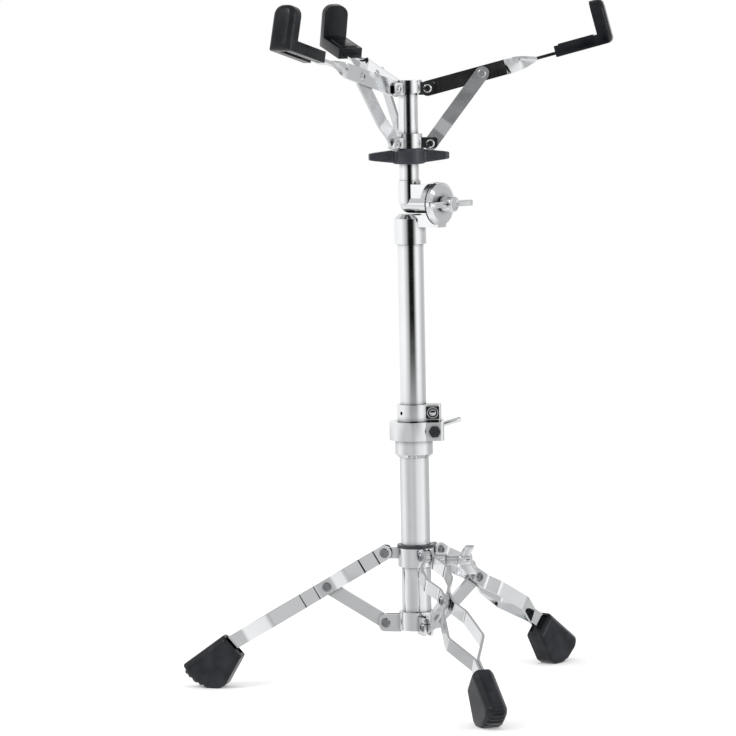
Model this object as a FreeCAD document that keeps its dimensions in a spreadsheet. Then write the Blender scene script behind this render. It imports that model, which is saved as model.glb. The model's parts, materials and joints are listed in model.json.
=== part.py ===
"""Folding snare drum stand: tripod, telescoping column, tilter and three-arm basket.

Millimetres and degrees. +Z is up, the origin is on the column's axis at floor level and the
front is seen along +Y. One STEP file per piece is written into parts/.
"""
import FreeCAD, Part
import math
import os
import re
from types import SimpleNamespace
from FreeCAD import Placement, Rotation, Vector

# Driving sizes, one row each, all written into the sheet; a row of text is worked out from other rows.
SIZES = (
    # fits shared by all pieces
    ("seat_clearance", 0.05),
    ("running_clearance", 0.05),
    ("side_gap", 0.3),
    ("cut_overrun", 3.0),
    # base tube and lower hub
    ("base_tube_diameter", 28.6),
    ("base_tube_wall", 1.2),
    ("base_tube_bottom", 61.5),
    ("base_tube_length", 185.5),
    ("base_tube_top", "base_tube_bottom + base_tube_length"),
    ("tripod_ring_wall", 3.3),
    ("lower_ring_height", 18.0),
    ("tripod_pivot_offset", 16.3),
    ("tripod_pivot_radius", "base_tube_diameter / 2 + tripod_pivot_offset"),
    ("tripod_lug_reach", 6.4),
    ("hub_lug_corner", 5.5),
    ("hub_pivot_rise", 6.1),
    ("hub_pivot_height", "base_tube_bottom + hub_pivot_rise"),
    ("hub_lug_thickness", 2.6),
    ("hub_lug_height", 17.0),
    ("rivet_diameter", 6.0),
    ("rivet_head_diameter", 9.6),
    ("rivet_crown_diameter", 6.8),
    ("rivet_head_height", 1.8),
    ("rivet_dish_diameter", 4.4),
    ("rivet_dish_depth", 0.8),
    # sliding collar
    ("collar_rise", 68.8),
    ("collar_pivot_height", "hub_pivot_height + collar_rise"),
    ("collar_drop", 12.5),
    ("collar_height", 18.3),
    ("collar_lug_thickness", 6.0),
    ("collar_lug_height", 11.0),
    ("collar_lug_corner", 4.0),
    ("collar_ring_wall", 3.9),
    ("collar_ring_height", 3.0),
    ("lock_drop", 6.0),
    ("lock_boss_diameter", 12.5),
    ("lock_boss_length", 16.0),
    ("lock_boss_reach", "base_tube_diameter / 2 + lock_boss_length"),
    ("lock_screw_diameter", 8.0),
    ("lock_screw_tip_gap", 0.4),
    ("lock_screw_standoff", 13.0),
    ("lock_hub_diameter", 12.0),
    ("lock_hub_length", 12.0),
    ("lock_wing_span", 33.0),
    ("lock_wing_depth", 17.0),
    ("lock_wing_thickness", 5.0),
    ("lock_wing_lean", 24.0),
    # legs and struts
    ("leg_azimuth", 167.5),
    ("leg_link", 67.8),
    ("strap_thickness", 2.4),
    ("strap_width", 14.5),
    ("strap_bend_radius", 9.0),
    ("strap_first_bow", 12.8),
    ("strap_second_bow_start", 11.5),
    ("strap_second_bow", 17.5),
    ("strut_thickness", 3.8),
    ("strut_width", 13.5),
    # feet
    ("foot_length", 60.5),
    ("foot_height", 52.8),
    ("foot_width", 21.5),
    ("foot_corner", 6.0),
    ("foot_edge_round", 4.5),
    ("foot_socket_depth", 25.0),
    ("tread_groove_width", 2.8),
    # height clamp
    ("clamp_cup_wall", 4.2),
    ("clamp_cup_diameter", "base_tube_diameter + 2 * clamp_cup_wall"),
    ("clamp_cup_depth", 16.0),
    ("clamp_cup_bottom", "base_tube_top - clamp_cup_depth"),
    ("clamp_cup_chamfer", 3.0),
    ("clamp_ring_wall", 9.5),
    ("clamp_ring_diameter", "base_tube_diameter + 2 * clamp_ring_wall"),
    ("clamp_step", 1.0),
    ("clamp_ring_bottom", "base_tube_top + clamp_step"),
    ("clamp_ring_height", 18.0),
    ("clamp_ear_length", 5.5),
    ("clamp_ear_reach", "clamp_ring_diameter / 2 + clamp_ear_length"),
    ("clamp_ear_inset", 3.0),
    ("clamp_ear_width", "clamp_ring_diameter - 2 * clamp_ear_inset"),
    ("clamp_ear_corner", 4.0),
    ("clamp_slit", 2.0),
    ("clamp_bushing_wall", 2.45),
    ("clamp_bolt_rim", 4.85),
    ("clamp_bolt_offset", "mid_tube_diameter / 2 + clamp_bushing_wall + clamp_bolt_rim"),
    ("clamp_bolt_diameter", 6.0),
    ("clamp_bolt_head_diameter", 11.5),
    ("clamp_bolt_head_height", 3.5),
    ("clamp_nut_diameter", 14.0),
    ("clamp_nut_length", 13.5),
    ("clamp_wing_gap", 1.0),
    ("clamp_wing_span", 57.0),
    ("clamp_wing_depth", 12.0),
    ("clamp_wing_thickness", 4.5),
    ("clamp_wing_angle", 14.0),
    # mid tube and memory lock
    ("telescope_gap", 0.4),
    ("mid_tube_diameter", "base_tube_diameter - 2 * base_tube_wall - 2 * telescope_gap"),
    ("mid_tube_wall", 1.5),
    ("mid_tube_rise", 23.5),
    ("mid_tube_bottom", "base_tube_bottom + mid_tube_rise"),
    ("mid_tube_length", 377.0),
    ("mid_tube_top", "mid_tube_bottom + mid_tube_length"),
    ("memory_lock_wall", 3.3),
    ("memory_lock_height", 16.2),
    ("memory_ear_length", 11.0),
    ("memory_ear_reach", "mid_tube_diameter / 2 + memory_lock_wall + memory_ear_length"),
    ("memory_ear_width", 18.0),
    ("memory_ear_corner", 3.5),
    ("memory_pocket_depth", 1.6),
    ("memory_pocket_frame", 2.0),
    ("memory_screw_rim", 5.8),
    ("memory_screw_offset", "mid_tube_diameter / 2 + memory_screw_rim"),
    ("memory_screw_diameter", 5.0),
    ("memory_screw_head_diameter", 11.0),
    ("memory_screw_head_height", 2.6),
    ("memory_screw_recess_diameter", 6.0),
    ("memory_nut_diameter", 9.2),
    ("memory_nut_height", 4.0),
    ("memory_hole_diameter", 3.4),
    ("memory_hole_azimuth", 222.0),
    # tilter
    ("tilt_azimuth", -38.0),
    ("lower_socket_wall", 2.75),
    ("lower_socket_depth", 23.5),
    ("lower_socket_bottom", "mid_tube_top - lower_socket_depth"),
    ("lower_socket_roof", 1.0),
    ("lower_socket_top", "mid_tube_top + lower_socket_roof"),
    ("lower_cone_top_diameter", 21.0),
    ("lower_cone_height", 4.5),
    ("upper_boss_diameter", 19.0),
    ("tilt_boss_gap", 0.7),
    ("tilt_rise", "upper_boss_diameter / 2 + tilt_boss_gap"),
    ("tilt_height", "lower_socket_top + lower_cone_height + tilt_rise"),
    ("lower_arm_width", 13.0),
    ("lower_arm_height", 11.5),
    ("lower_arm_step", 1.0),
    ("lower_arm_drop", "tilt_rise + lower_arm_step"),
    ("tilt_disc_diameter", 41.0),
    ("upper_disc_gap", 12.55),
    ("upper_disc_start", "mid_tube_diameter / 2 + lower_socket_wall + upper_disc_gap"),
    ("upper_disc_thickness", 6.0),
    ("upper_disc_rise", 2.0),
    ("lower_disc_thickness", 4.2),
    ("lower_disc_dome_diameter", 34.0),
    ("lower_disc_dome_height", 1.6),
    ("upper_socket_wall", 1.425),
    ("upper_socket_height", 22.0),
    ("upper_web_width", 16.0),
    ("upper_web_height", 18.5),
    ("tilt_bolt_diameter", 6.0),
    ("tilt_bolt_inset", 3.05),
    ("tilt_bolt_start", "rod_diameter / 2 + upper_socket_wall + tilt_bolt_inset"),
    ("tilt_hub_gap", 0.5),
    ("tilt_hub_diameter", 13.0),
    ("tilt_hub_length", 13.0),
    ("tilt_wing_span", 56.0),
    ("tilt_wing_depth", 14.0),
    ("tilt_wing_thickness", 5.0),
    # basket rod, hubs and nut
    ("rod_diameter", 19.05),
    ("rod_seat", 3.8),
    ("rod_bottom", "tilt_height + rod_seat"),
    ("rod_length", 115.0),
    ("rod_top", "rod_bottom + rod_length"),
    ("basket_ring_wall", 3.9),
    ("upper_ring_height", 12.5),
    ("upper_pivot_offset", 10.075),
    ("upper_pivot_radius", "rod_diameter / 2 + upper_pivot_offset"),
    ("upper_pivot_drop", 8.2),
    ("upper_pivot_height", "rod_top - upper_pivot_drop"),
    ("upper_ear_thickness", 2.5),
    ("upper_ear_height", 12.4),
    ("upper_ear_reach", 6.9),
    ("basket_ear_corner", 2.5),
    ("basket_spread", 53.2),
    ("lower_pivot_offset", 11.975),
    ("lower_pivot_radius", "rod_diameter / 2 + lower_pivot_offset"),
    ("lower_pivot_height", "upper_pivot_height - basket_spread"),
    ("lower_pivot_rise", 4.1),
    ("lower_ring_bottom", "lower_pivot_height - lower_pivot_rise"),
    ("basket_ring_height", 14.0),
    ("lower_ear_height", 10.3),
    ("lower_ear_reach", 7.0),
    ("basket_pin_diameter", 5.0),
    ("basket_pin_head_diameter", 8.4),
    ("basket_pin_crown_diameter", 6.0),
    ("basket_pin_head_height", 1.6),
    ("basket_pin_dish_diameter", 3.8),
    ("basket_pin_dish_depth", 0.7),
    ("nut_wall", 5.475),
    ("nut_diameter", "rod_diameter + 2 * nut_wall"),
    ("nut_height", 15.0),
    ("nut_wing_span", 79.0),
    ("nut_wing_height", 10.0),
    ("nut_wing_thickness", 9.0),
    ("nut_wing_round", 2.5),
    ("nut_panel_depth", 0.9),
    ("nut_panel_round", 1.0),
    ("nut_azimuth", 12.0),
    # basket arms, hooks and stays
    ("arm_azimuth", -7.5),
    ("arm_slope", 14.3),
    ("arm_thickness", 3.0),
    ("arm_width", 14.8),
    ("arm_link", 54.6),
    ("twist_start", 78.0),
    ("twist_length", 32.0),
    ("arm_reach", 179.5),
    ("arm_upturn", 34.0),
    ("hook_start", 128.0),
    ("hook_width", 22.0),
    ("hook_sole", 4.0),
    ("hook_bed", 6.8),
    ("hook_wall", 4.75),
    ("hook_lip", 3.4),
    ("hook_grip", 12.5),
    ("hook_top", 38.5),
    ("hook_corner", 3.0),
    ("hook_top_corner", 7.5),
    ("hook_rib_start", 3.5),
    ("hook_rib_height", 1.2),
    ("hook_rib_width", 12.0),
    ("stay_thickness", 2.5),
    ("stay_width", 13.5),
    ("stay_joggle_start", 14.0),
    ("stay_joggle_length", 13.0),
    ("stay_bend_radius", 8.0),
)

# Strap path of one leg as (share of the strap's length, name of the offset it holds there).
STRAP_PATH_SHARES = (
    (0.0, "lug"),
    (0.045, "lug"),
    (0.120, "first"),
    (0.209, "first"),
    (0.289, "pinch"),
    (0.383, "pinch"),
    (0.458, "second_start"),
    (0.638, "second"),
    (0.797, "end"),
    (1.0, "end"),
)

# Foot outline as shares of its length (outward) and height (up), clockwise from the top corner.
FOOT_OUTLINE_SHARES = (
    (0.306, 1.0),
    (1.0, 0.429),
    (0.968, 0.268),
    (0.806, 0.098),
    (0.597, 0.0),
    (0.371, 0.0),
    (0.274, 0.063),
    (0.0, 0.607),
)
FOOT_ENTRY_SHARES = (0.177, 0.843)
TREAD_GROOVE_SHARES = ((0.985, 0.335), (0.935, 0.225), (0.866, 0.158), (0.750, 0.072), (0.660, 0.028))

# Wing plate outline as shares of half the span (outward) and of the depth (along the screw).
WING_OUTLINE_SHARES = ((0.0, 0.0), (0.28, 0.0), (0.92, 0.34), (1.0, 0.62), (0.90, 1.0), (0.34, 0.72),
                       (0.0, 0.72))
WING_CORNER_SHARE = 0.07
NUT_OUTLINE_SHARES = ((0.0, 0.0), (0.94, 0.14), (1.0, 0.40), (0.97, 0.76), (0.0, 1.0))
NUT_PANEL_SHARES = ((0.50, 0.22), (0.89, 0.28), (0.89, 0.66), (0.50, 0.76))
NUT_WING_LIFT_SHARE = 0.09

COUNT = 3
TWIST_SECTIONS = 9
RIGHT_ANGLE = 90.0
FULL_TURN = 360.0
NUT_SIDES = 6
ORIGIN = Vector(0, 0, 0)
X_AXIS = Vector(1, 0, 0)
Y_AXIS = Vector(0, 1, 0)
Z_AXIS = Vector(0, 0, 1)

doc = FreeCAD.newDocument("snare_stand")
sheet = doc.addObject("Spreadsheet::Sheet", "Sizes")
for row, (alias, amount) in enumerate(SIZES, start=1):
    sheet.set("A%d" % row, alias)
    sheet.setAlias("B%d" % row, alias)
for row, (alias, amount) in enumerate(SIZES, start=1):
    sheet.set("B%d" % row, "=" + amount if isinstance(amount, str) else str(amount))
doc.recompute()
ALIASES = {alias for alias, amount in SIZES}
mm = SimpleNamespace(**{alias: float(sheet.get(alias)) for alias in ALIASES})
nodes = []


# Derived positions

leg_slope = math.degrees(math.asin((mm.collar_pivot_height - mm.hub_pivot_height) / 2 / mm.leg_link))
entry_height = FOOT_ENTRY_SHARES[1] * mm.foot_height
entry_drop = mm.collar_pivot_height - entry_height
strap_length = entry_drop / math.sin(math.radians(leg_slope)) + mm.foot_socket_depth
entry_radius = mm.tripod_pivot_radius + entry_drop / math.tan(math.radians(leg_slope))
foot_inner_radius = entry_radius - FOOT_ENTRY_SHARES[0] * mm.foot_length
strap_offsets = {
    "lug": mm.collar_lug_thickness / 2 + mm.side_gap + mm.strap_thickness / 2,
    "first": mm.strap_first_bow,
    "pinch": mm.strut_thickness / 2 + mm.side_gap + mm.strap_thickness / 2,
    "second_start": mm.strap_second_bow_start,
    "second": mm.strap_second_bow,
    "end": mm.strap_thickness / 2 + mm.side_gap,
}
clamp_bolt_height = mm.clamp_ring_bottom + mm.clamp_ring_height / 2
memory_lock_bottom = mm.clamp_ring_bottom + mm.clamp_ring_height + mm.side_gap
memory_screw_height = memory_lock_bottom + mm.memory_lock_height / 2
lower_disc_start = mm.upper_disc_start + mm.upper_disc_thickness + mm.side_gap
tilt_hub_start = lower_disc_start + mm.lower_disc_thickness + mm.lower_disc_dome_height + mm.tilt_hub_gap
nut_top = mm.lower_ring_bottom - mm.side_gap
stay_offset = -(mm.arm_thickness / 2 + mm.side_gap + mm.stay_thickness / 2)
arm_pivot = Vector(mm.upper_pivot_radius, 0, mm.upper_pivot_height)
stay_pivot = Vector(mm.lower_pivot_radius, 0, mm.lower_pivot_height)
stay_rivet = arm_pivot + Rotation(Y_AXIS, -mm.arm_slope).multVec(Vector(mm.arm_link, 0, 0))
stay_length = (stay_rivet - stay_pivot).Length
stay_slope = math.degrees(math.atan2(stay_rivet.z - stay_pivot.z, stay_rivet.x - stay_pivot.x))


# Building blocks

def formula(text):
    """Expression text with every size name pointed at the sheet."""
    return re.sub(r"[a-z]\w*", lambda word: "Sizes." + word.group(0), text)


def bind(solid, **properties):
    """Binds properties of a document object to formulas of sheet sizes."""
    for name, text in properties.items():
        solid.setExpression(name, formula(text))
    return solid


def azimuth_place(angle):
    """Placement that turns a piece drawn at azimuth 0 about the column's axis."""
    return Placement(ORIGIN, Rotation(Z_AXIS, angle))


def cylinder(name, radius, height, base=ORIGIN, axis=Z_AXIS):
    solid = bind(doc.addObject("Part::Cylinder", name), Radius=radius, Height=height)
    solid.Placement = Placement(base, Rotation(Z_AXIS, axis))
    return solid


def cone(name, first_radius, second_radius, height, base=ORIGIN, axis=Z_AXIS):
    solid = doc.addObject("Part::Cone", name)
    bind(solid, Radius1=first_radius, Radius2=second_radius, Height=height)
    solid.Placement = Placement(base, Rotation(Z_AXIS, axis))
    return solid


def box(name, length, width, height, corner, turn=Placement()):
    """Box from its low corner, given in the frame of the placement turn."""
    solid = bind(doc.addObject("Part::Box", name), Length=length, Width=width, Height=height)
    solid.Placement = turn.multiply(Placement(corner, Rotation()))
    return solid


def join(name, pieces):
    fused = doc.addObject("Part::MultiFuse", name)
    fused.Shapes = pieces
    return fused


def cut(name, base, tools):
    removed = doc.addObject("Part::Cut", name)
    removed.Base = base
    removed.Tool = tools[0] if len(tools) == 1 else join(name + "_tools", tools)
    return removed


def common(name, first, second):
    shared = doc.addObject("Part::Common", name)
    shared.Base = first
    shared.Tool = second
    return shared


def group(name, pieces):
    bundle = doc.addObject("Part::Compound", name)
    bundle.Links = pieces
    return bundle


def keep(solid, label):
    """Marks an object as one finished piece under its own label."""
    solid.Label = label
    nodes.append(solid)
    return solid


def keep_copies(source, pattern, first_azimuth):
    """Three finished pieces turned about the column from one drawn at azimuth 0."""
    doc.recompute()
    for number in range(COUNT):
        copy = doc.addObject("Part::Feature", source.Name + "_copy")
        copy.Shape = source.Shape
        turn = azimuth_place(first_azimuth + number * FULL_TURN / COUNT)
        copy.Placement = turn.multiply(source.Shape.Placement)
        keep(copy, pattern % (number + 1))


def rounded_edges(points, radii):
    """Edges of a closed outline whose corners are rounded by the radii given."""
    edges = []
    starts = []
    ends = []
    total = len(points)
    for index, corner in enumerate(points):
        back = (points[index - 1] - corner).normalize()
        ahead = (points[(index + 1) % total] - corner).normalize()
        half_angle = math.acos(max(-1.0, min(1.0, back.dot(ahead)))) / 2
        radius = radii[index]
        reach = radius / math.tan(half_angle)
        starts.append(corner + back * reach)
        ends.append(corner + ahead * reach)
        if radius > 0:
            middle = corner + (back + ahead).normalize() * (radius / math.sin(half_angle) - radius)
            edges.append(Part.Arc(starts[-1], middle, ends[-1]))
    for index in range(total):
        edges.append(Part.LineSegment(ends[index], starts[(index + 1) % total]))
    return edges


def plate(name, points, radii, thickness, place):
    """Body of one symmetric pad on a rounded outline drawn in the place's XY plane."""
    body = doc.addObject("PartDesign::Body", name)
    plane = [feature for feature in body.Origin.OriginFeatures if feature.Role == "XY_Plane"][0]
    sketch = body.newObject("Sketcher::SketchObject", name + "_outline")
    sketch.AttachmentSupport = (plane, [""])
    sketch.MapMode = "FlatFace"
    sketch.addGeometry(rounded_edges(points, radii), False)
    pad = body.newObject("PartDesign::Pad", name + "_pad")
    pad.Profile = sketch
    pad.SideType = "Symmetric"
    bind(pad, Length=thickness)
    sketch.Visibility = False
    body.Placement = place
    return body


def upright(angle=0.0):
    """Placement of an outline drawn as (radius, height) at an azimuth."""
    return Placement(ORIGIN, Rotation(Z_AXIS, angle).multiply(Rotation(X_AXIS, RIGHT_ANGLE)))


def strip_outline(path, thickness, bend_radius):
    """Closed outline of a bent strip around its middle line, with bend radii per corner."""
    left = []
    right = []
    left_radii = []
    right_radii = []
    for index, point in enumerate(path):
        before = (point - path[index - 1]).normalize() if index > 0 else None
        after = (path[index + 1] - point).normalize() if index + 1 < len(path) else None
        before = before or after
        after = after or before
        bisector = (before + after).normalize()
        side = Vector(-bisector.y, bisector.x, 0)
        half = thickness / 2 / bisector.dot(before)
        bend = before.cross(after).z
        rounded = bend_radius if abs(bend) > 0 else 0
        lean = math.copysign(thickness / 2, bend) if rounded else 0
        left.append(point + side * half)
        right.append(point - side * half)
        left_radii.append(rounded - lean)
        right_radii.append(rounded + lean)
    return left + right[::-1], left_radii + right_radii[::-1]


def str_length(length):
    """Length worked out from sheet sizes, as expression text."""
    return "%.6f" % length


def rivet_head(name, base, axis, sizes):
    """Tapered head of a named size family with a dished middle."""
    crown = cone(name + "_crown", sizes + "_head_diameter / 2", sizes + "_crown_diameter / 2",
                 sizes + "_head_height", base, axis)
    floor = getattr(mm, sizes + "_head_height") - getattr(mm, sizes + "_dish_depth")
    dish = cylinder(name + "_dish", sizes + "_dish_diameter / 2", sizes + "_dish_depth + cut_overrun",
                    base + axis * floor, axis)
    return cut(name, crown, [dish])


def rivet(name, centre, axis, grip, sizes):
    """Pin of a named size family with a head beyond each end of its grip."""
    near = centre - axis * (grip / 2)
    far = centre + axis * (grip / 2)
    shank = cylinder(name + "_shank", sizes + "_diameter / 2", str_length(grip), near, axis)
    return join(name, [shank, rivet_head(name + "_far", far, axis, sizes),
                       rivet_head(name + "_near", near, -axis, sizes)])


def half_rivet(name, start, axis, grip, sizes):
    """Rivet end: a shank that starts flush with one face and a head beyond the other."""
    shank = cylinder(name + "_shank", sizes + "_diameter / 2", str_length(grip), start, axis)
    return join(name, [shank, rivet_head(name + "_head", start + axis * grip, axis, sizes)])


def drill(name, diameter, centre, axis, span):
    """Cylinder that cuts a bore through a span about a centre, past both faces."""
    length = span + 2 * mm.cut_overrun
    return cylinder(name, diameter, str_length(length), centre - axis * (length / 2), axis)


def tube(name, outer_radius, bore_radius, bottom, height):
    """Ring about the column's axis."""
    outer = cylinder(name + "_outer", outer_radius, str_length(height), Vector(0, 0, bottom))
    bore = drill(name + "_bore", bore_radius, Vector(0, 0, bottom + height / 2), Z_AXIS, height)
    return cut(name, outer, [bore])


def wing_plate(name, span, depth, thickness, place):
    """Two-lobed wing in the place's XY plane, the screw's axis along its Y."""
    half = span / 2
    right = [Vector(across * half, along * depth, 0) for across, along in WING_OUTLINE_SHARES[1:-1]]
    left = [Vector(-point.x, point.y, 0) for point in reversed(right)]
    points = right + left
    return plate(name, points, [WING_CORNER_SHARE * half] * len(points), thickness, place)


# Tripod

def build_base_tube():
    tube_solid = tube("base_tube", "base_tube_diameter / 2", "base_tube_diameter / 2 - base_tube_wall",
                      mm.base_tube_bottom, mm.base_tube_top - mm.base_tube_bottom)
    keep(tube_solid, "base_tube")


def leg_angles():
    return [mm.leg_azimuth + number * FULL_TURN / COUNT for number in range(COUNT)]


def lug_points(inner, outer, bottom, top):
    return [Vector(inner, bottom, 0), Vector(outer, bottom, 0), Vector(outer, top, 0), Vector(inner, top, 0)]


def turned(angle, point):
    return Rotation(Z_AXIS, angle).multVec(point)


def build_lower_hub():
    tube_radius = mm.base_tube_diameter / 2
    root = tube_radius + mm.tripod_ring_wall / 3
    reach = mm.tripod_pivot_radius + mm.tripod_lug_reach
    middle = mm.hub_pivot_height
    points = lug_points(root, reach, middle - mm.hub_lug_height / 2, middle + mm.hub_lug_height / 2)
    radii = [0, mm.hub_lug_corner, mm.hub_lug_corner, 0]
    ring = cylinder("lower_hub_ring", "base_tube_diameter / 2 + tripod_ring_wall", "lower_ring_height",
                    Vector(0, 0, mm.base_tube_bottom))
    solids = [ring]
    bore = drill("lower_hub_bore", "base_tube_diameter / 2 + seat_clearance",
                 Vector(0, 0, middle), Z_AXIS, mm.lower_ring_height)
    tools = [bore]
    slot_start = tube_radius + mm.tripod_ring_wall
    slot_width = mm.strut_thickness + 2 * mm.side_gap
    grip = slot_width + 2 * mm.hub_lug_thickness
    pins = []
    for number, angle in enumerate(leg_angles(), start=1):
        name = "lower_hub_lug_%d" % number
        solids.append(plate(name, points, radii, "strut_thickness + 2 * side_gap + 2 * hub_lug_thickness",
                            upright(angle)))
        corner = Vector(slot_start, -slot_width / 2, middle - mm.hub_lug_height)
        tools.append(box(name + "_slot", "tripod_pivot_radius", "strut_thickness + 2 * side_gap",
                         "2 * hub_lug_height", corner, azimuth_place(angle)))
        centre = turned(angle, Vector(mm.tripod_pivot_radius, 0, middle))
        across = turned(angle, Y_AXIS)
        tools.append(drill(name + "_hole", "rivet_diameter / 2 + seat_clearance", centre, across, grip))
        pins.append(rivet("lower_hub_pin_%d" % number, centre, across, grip, "rivet"))
    keep(cut("lower_hub", join("lower_hub_solid", solids), tools), "lower_hub")
    keep(group("lower_hub_pins", pins), "lower_hub_pins")


def build_collar():
    tube_radius = mm.base_tube_diameter / 2
    middle = mm.collar_pivot_height
    bottom = middle - mm.collar_drop
    root = tube_radius + mm.tripod_ring_wall / 3
    reach = mm.tripod_pivot_radius + mm.tripod_lug_reach
    points = lug_points(root, reach, middle - mm.collar_lug_height / 2, middle + mm.collar_lug_height / 2)
    radii = [0, mm.collar_lug_corner, mm.collar_lug_corner, 0]
    ring = cylinder("collar_body", "base_tube_diameter / 2 + tripod_ring_wall", "collar_height",
                    Vector(0, 0, bottom))
    # the lock screw stands between the last two legs, opposite the first
    lock_axis = turned(mm.leg_azimuth, -X_AXIS)
    lock_centre = Vector(0, 0, middle - mm.lock_drop)
    boss = cylinder("lock_boss", "lock_boss_diameter / 2", "lock_boss_reach - base_tube_diameter / 2",
                    lock_axis * tube_radius + lock_centre, lock_axis)
    solids = [ring, boss]
    tools = [
        drill("collar_bore", "base_tube_diameter / 2 + 2 * running_clearance",
              Vector(0, 0, bottom + mm.collar_height / 2), Z_AXIS, mm.collar_height),
        cylinder("lock_thread", "lock_screw_diameter / 2 + running_clearance",
                 "lock_boss_reach + cut_overrun", lock_centre, lock_axis),
    ]
    for number, angle in enumerate(leg_angles(), start=1):
        name = "collar_lug_%d" % number
        solids.append(plate(name, points, radii, "collar_lug_thickness", upright(angle)))
        centre = turned(angle, Vector(mm.tripod_pivot_radius, 0, middle))
        tools.append(drill(name + "_hole", "rivet_diameter / 2 + running_clearance", centre,
                           turned(angle, Y_AXIS), mm.collar_lug_thickness))
    keep(cut("tripod_collar", join("collar_solid", solids), tools), "tripod_collar")
    keep(tube("collar_ring", "base_tube_diameter / 2 + collar_ring_wall",
              "base_tube_diameter / 2 + 2 * running_clearance", bottom + mm.collar_height,
              mm.collar_ring_height), "collar_ring")
    build_lock_screw(lock_centre, lock_axis)


def build_lock_screw(centre, axis):
    """Wing screw that presses on the base tube through the collar's boss."""
    start = mm.base_tube_diameter / 2 + mm.lock_screw_tip_gap
    hub_start = mm.lock_boss_reach + mm.lock_screw_standoff
    shank = cylinder("lock_shank", "lock_screw_diameter / 2", str_length(hub_start - start),
                     centre + axis * start, axis)
    hub = cylinder("lock_hub", "lock_hub_diameter / 2", "lock_hub_length", centre + axis * hub_start, axis)
    # the wing's plane holds the screw's axis and leans from upright about it
    across = Rotation(axis, mm.lock_wing_lean).multVec(Z_AXIS)
    place = Placement(centre + axis * hub_start, Rotation(across, axis, across.cross(axis), "XYZ"))
    wing = wing_plate("lock_wing", mm.lock_wing_span, mm.lock_wing_depth, "lock_wing_thickness", place)
    keep(join("collar_lock_screw", [shank, hub, wing]), "collar_lock_screw")


def build_legs():
    """One leg at azimuth 0 in its own frame: X along the leg, Y across, Z square to both."""
    place = Placement(Vector(mm.tripod_pivot_radius, 0, mm.collar_pivot_height), Rotation(Y_AXIS, leg_slope))
    axis = Y_AXIS
    middle = place.multVec(Vector(mm.leg_link, 0, 0))
    path = [Vector(share * strap_length, strap_offsets[name], 0) for share, name in STRAP_PATH_SHARES]
    for label, side in (("a", 1), ("b", -1)):
        name = "strap_" + label
        points, radii = strip_outline([Vector(point.x, side * point.y, 0) for point in path],
                                      mm.strap_thickness, mm.strap_bend_radius)
        strip = plate(name + "_strip", points, radii, "strap_width", place)
        inner = side * strap_offsets["lug"] - mm.strap_thickness / 2
        end = cylinder(name + "_end", "strap_width / 2", "strap_thickness",
                       place.multVec(Vector(0, inner, 0)), axis)
        holes = [drill(name + "_hole_%d" % number, "rivet_diameter / 2 + seat_clearance", centre, axis,
                       2 * mm.strap_first_bow)
                 for number, centre in enumerate((place.Base, middle), start=1)]
        strap = cut(name, join(name + "_solid", [strip, end]), holes)
        keep_copies(strap, "leg_%d_strap_" + label, mm.leg_azimuth)
    grip = 2 * strap_offsets["lug"] + mm.strap_thickness
    inner = strap_offsets["pinch"] - mm.strap_thickness / 2
    pins = [rivet("leg_collar_pin", place.Base, axis, grip, "rivet")]
    for label, side in (("left", 1), ("right", -1)):
        pins.append(half_rivet("leg_rivet_" + label, middle + axis * (side * inner), axis * side,
                               mm.strap_thickness, "rivet"))
    keep_copies(group("leg_pins", pins), "leg_%d_pins", mm.leg_azimuth)


def build_feet():
    points = [Vector(foot_inner_radius + along * mm.foot_length, up * mm.foot_height, 0)
              for along, up in FOOT_OUTLINE_SHARES]
    block = plate("foot_block", points, [mm.foot_corner] * len(points), "foot_width", upright())
    doc.recompute()
    soft = doc.addObject("Part::Fillet", "foot_soft")
    soft.Base = block
    soft.Edges = [(number, mm.foot_edge_round, mm.foot_edge_round)
                  for number, edge in enumerate(block.Shape.Edges, start=1) if on_foot_side(edge)]
    place = Placement(Vector(mm.tripod_pivot_radius, 0, mm.collar_pivot_height), Rotation(Y_AXIS, leg_slope))
    socket_length = mm.foot_socket_depth + mm.foot_length / 2
    socket_width = 2 * strap_offsets["end"] + mm.strap_thickness + 2 * mm.seat_clearance
    corner = Vector(strap_length + mm.seat_clearance - socket_length, -socket_width / 2,
                    -mm.strap_width / 2 - mm.seat_clearance)
    tools = [box("foot_socket", str_length(socket_length), str_length(socket_width),
                 "strap_width + 2 * seat_clearance", corner, place)]
    for number, (along, up) in enumerate(TREAD_GROOVE_SHARES, start=1):
        centre = Vector(foot_inner_radius + along * mm.foot_length, 0, up * mm.foot_height)
        tools.append(drill("tread_groove_%d" % number, "tread_groove_width / 2", centre, Y_AXIS,
                           mm.foot_width))
    keep_copies(cut("foot", soft, tools), "leg_%d_foot", mm.leg_azimuth)


def on_foot_side(edge):
    """True for the edges that bound the foot's two flat sides."""
    return all(abs(abs(vertex.Point.y) - mm.foot_width / 2) < mm.seat_clearance for vertex in edge.Vertexes)


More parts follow.
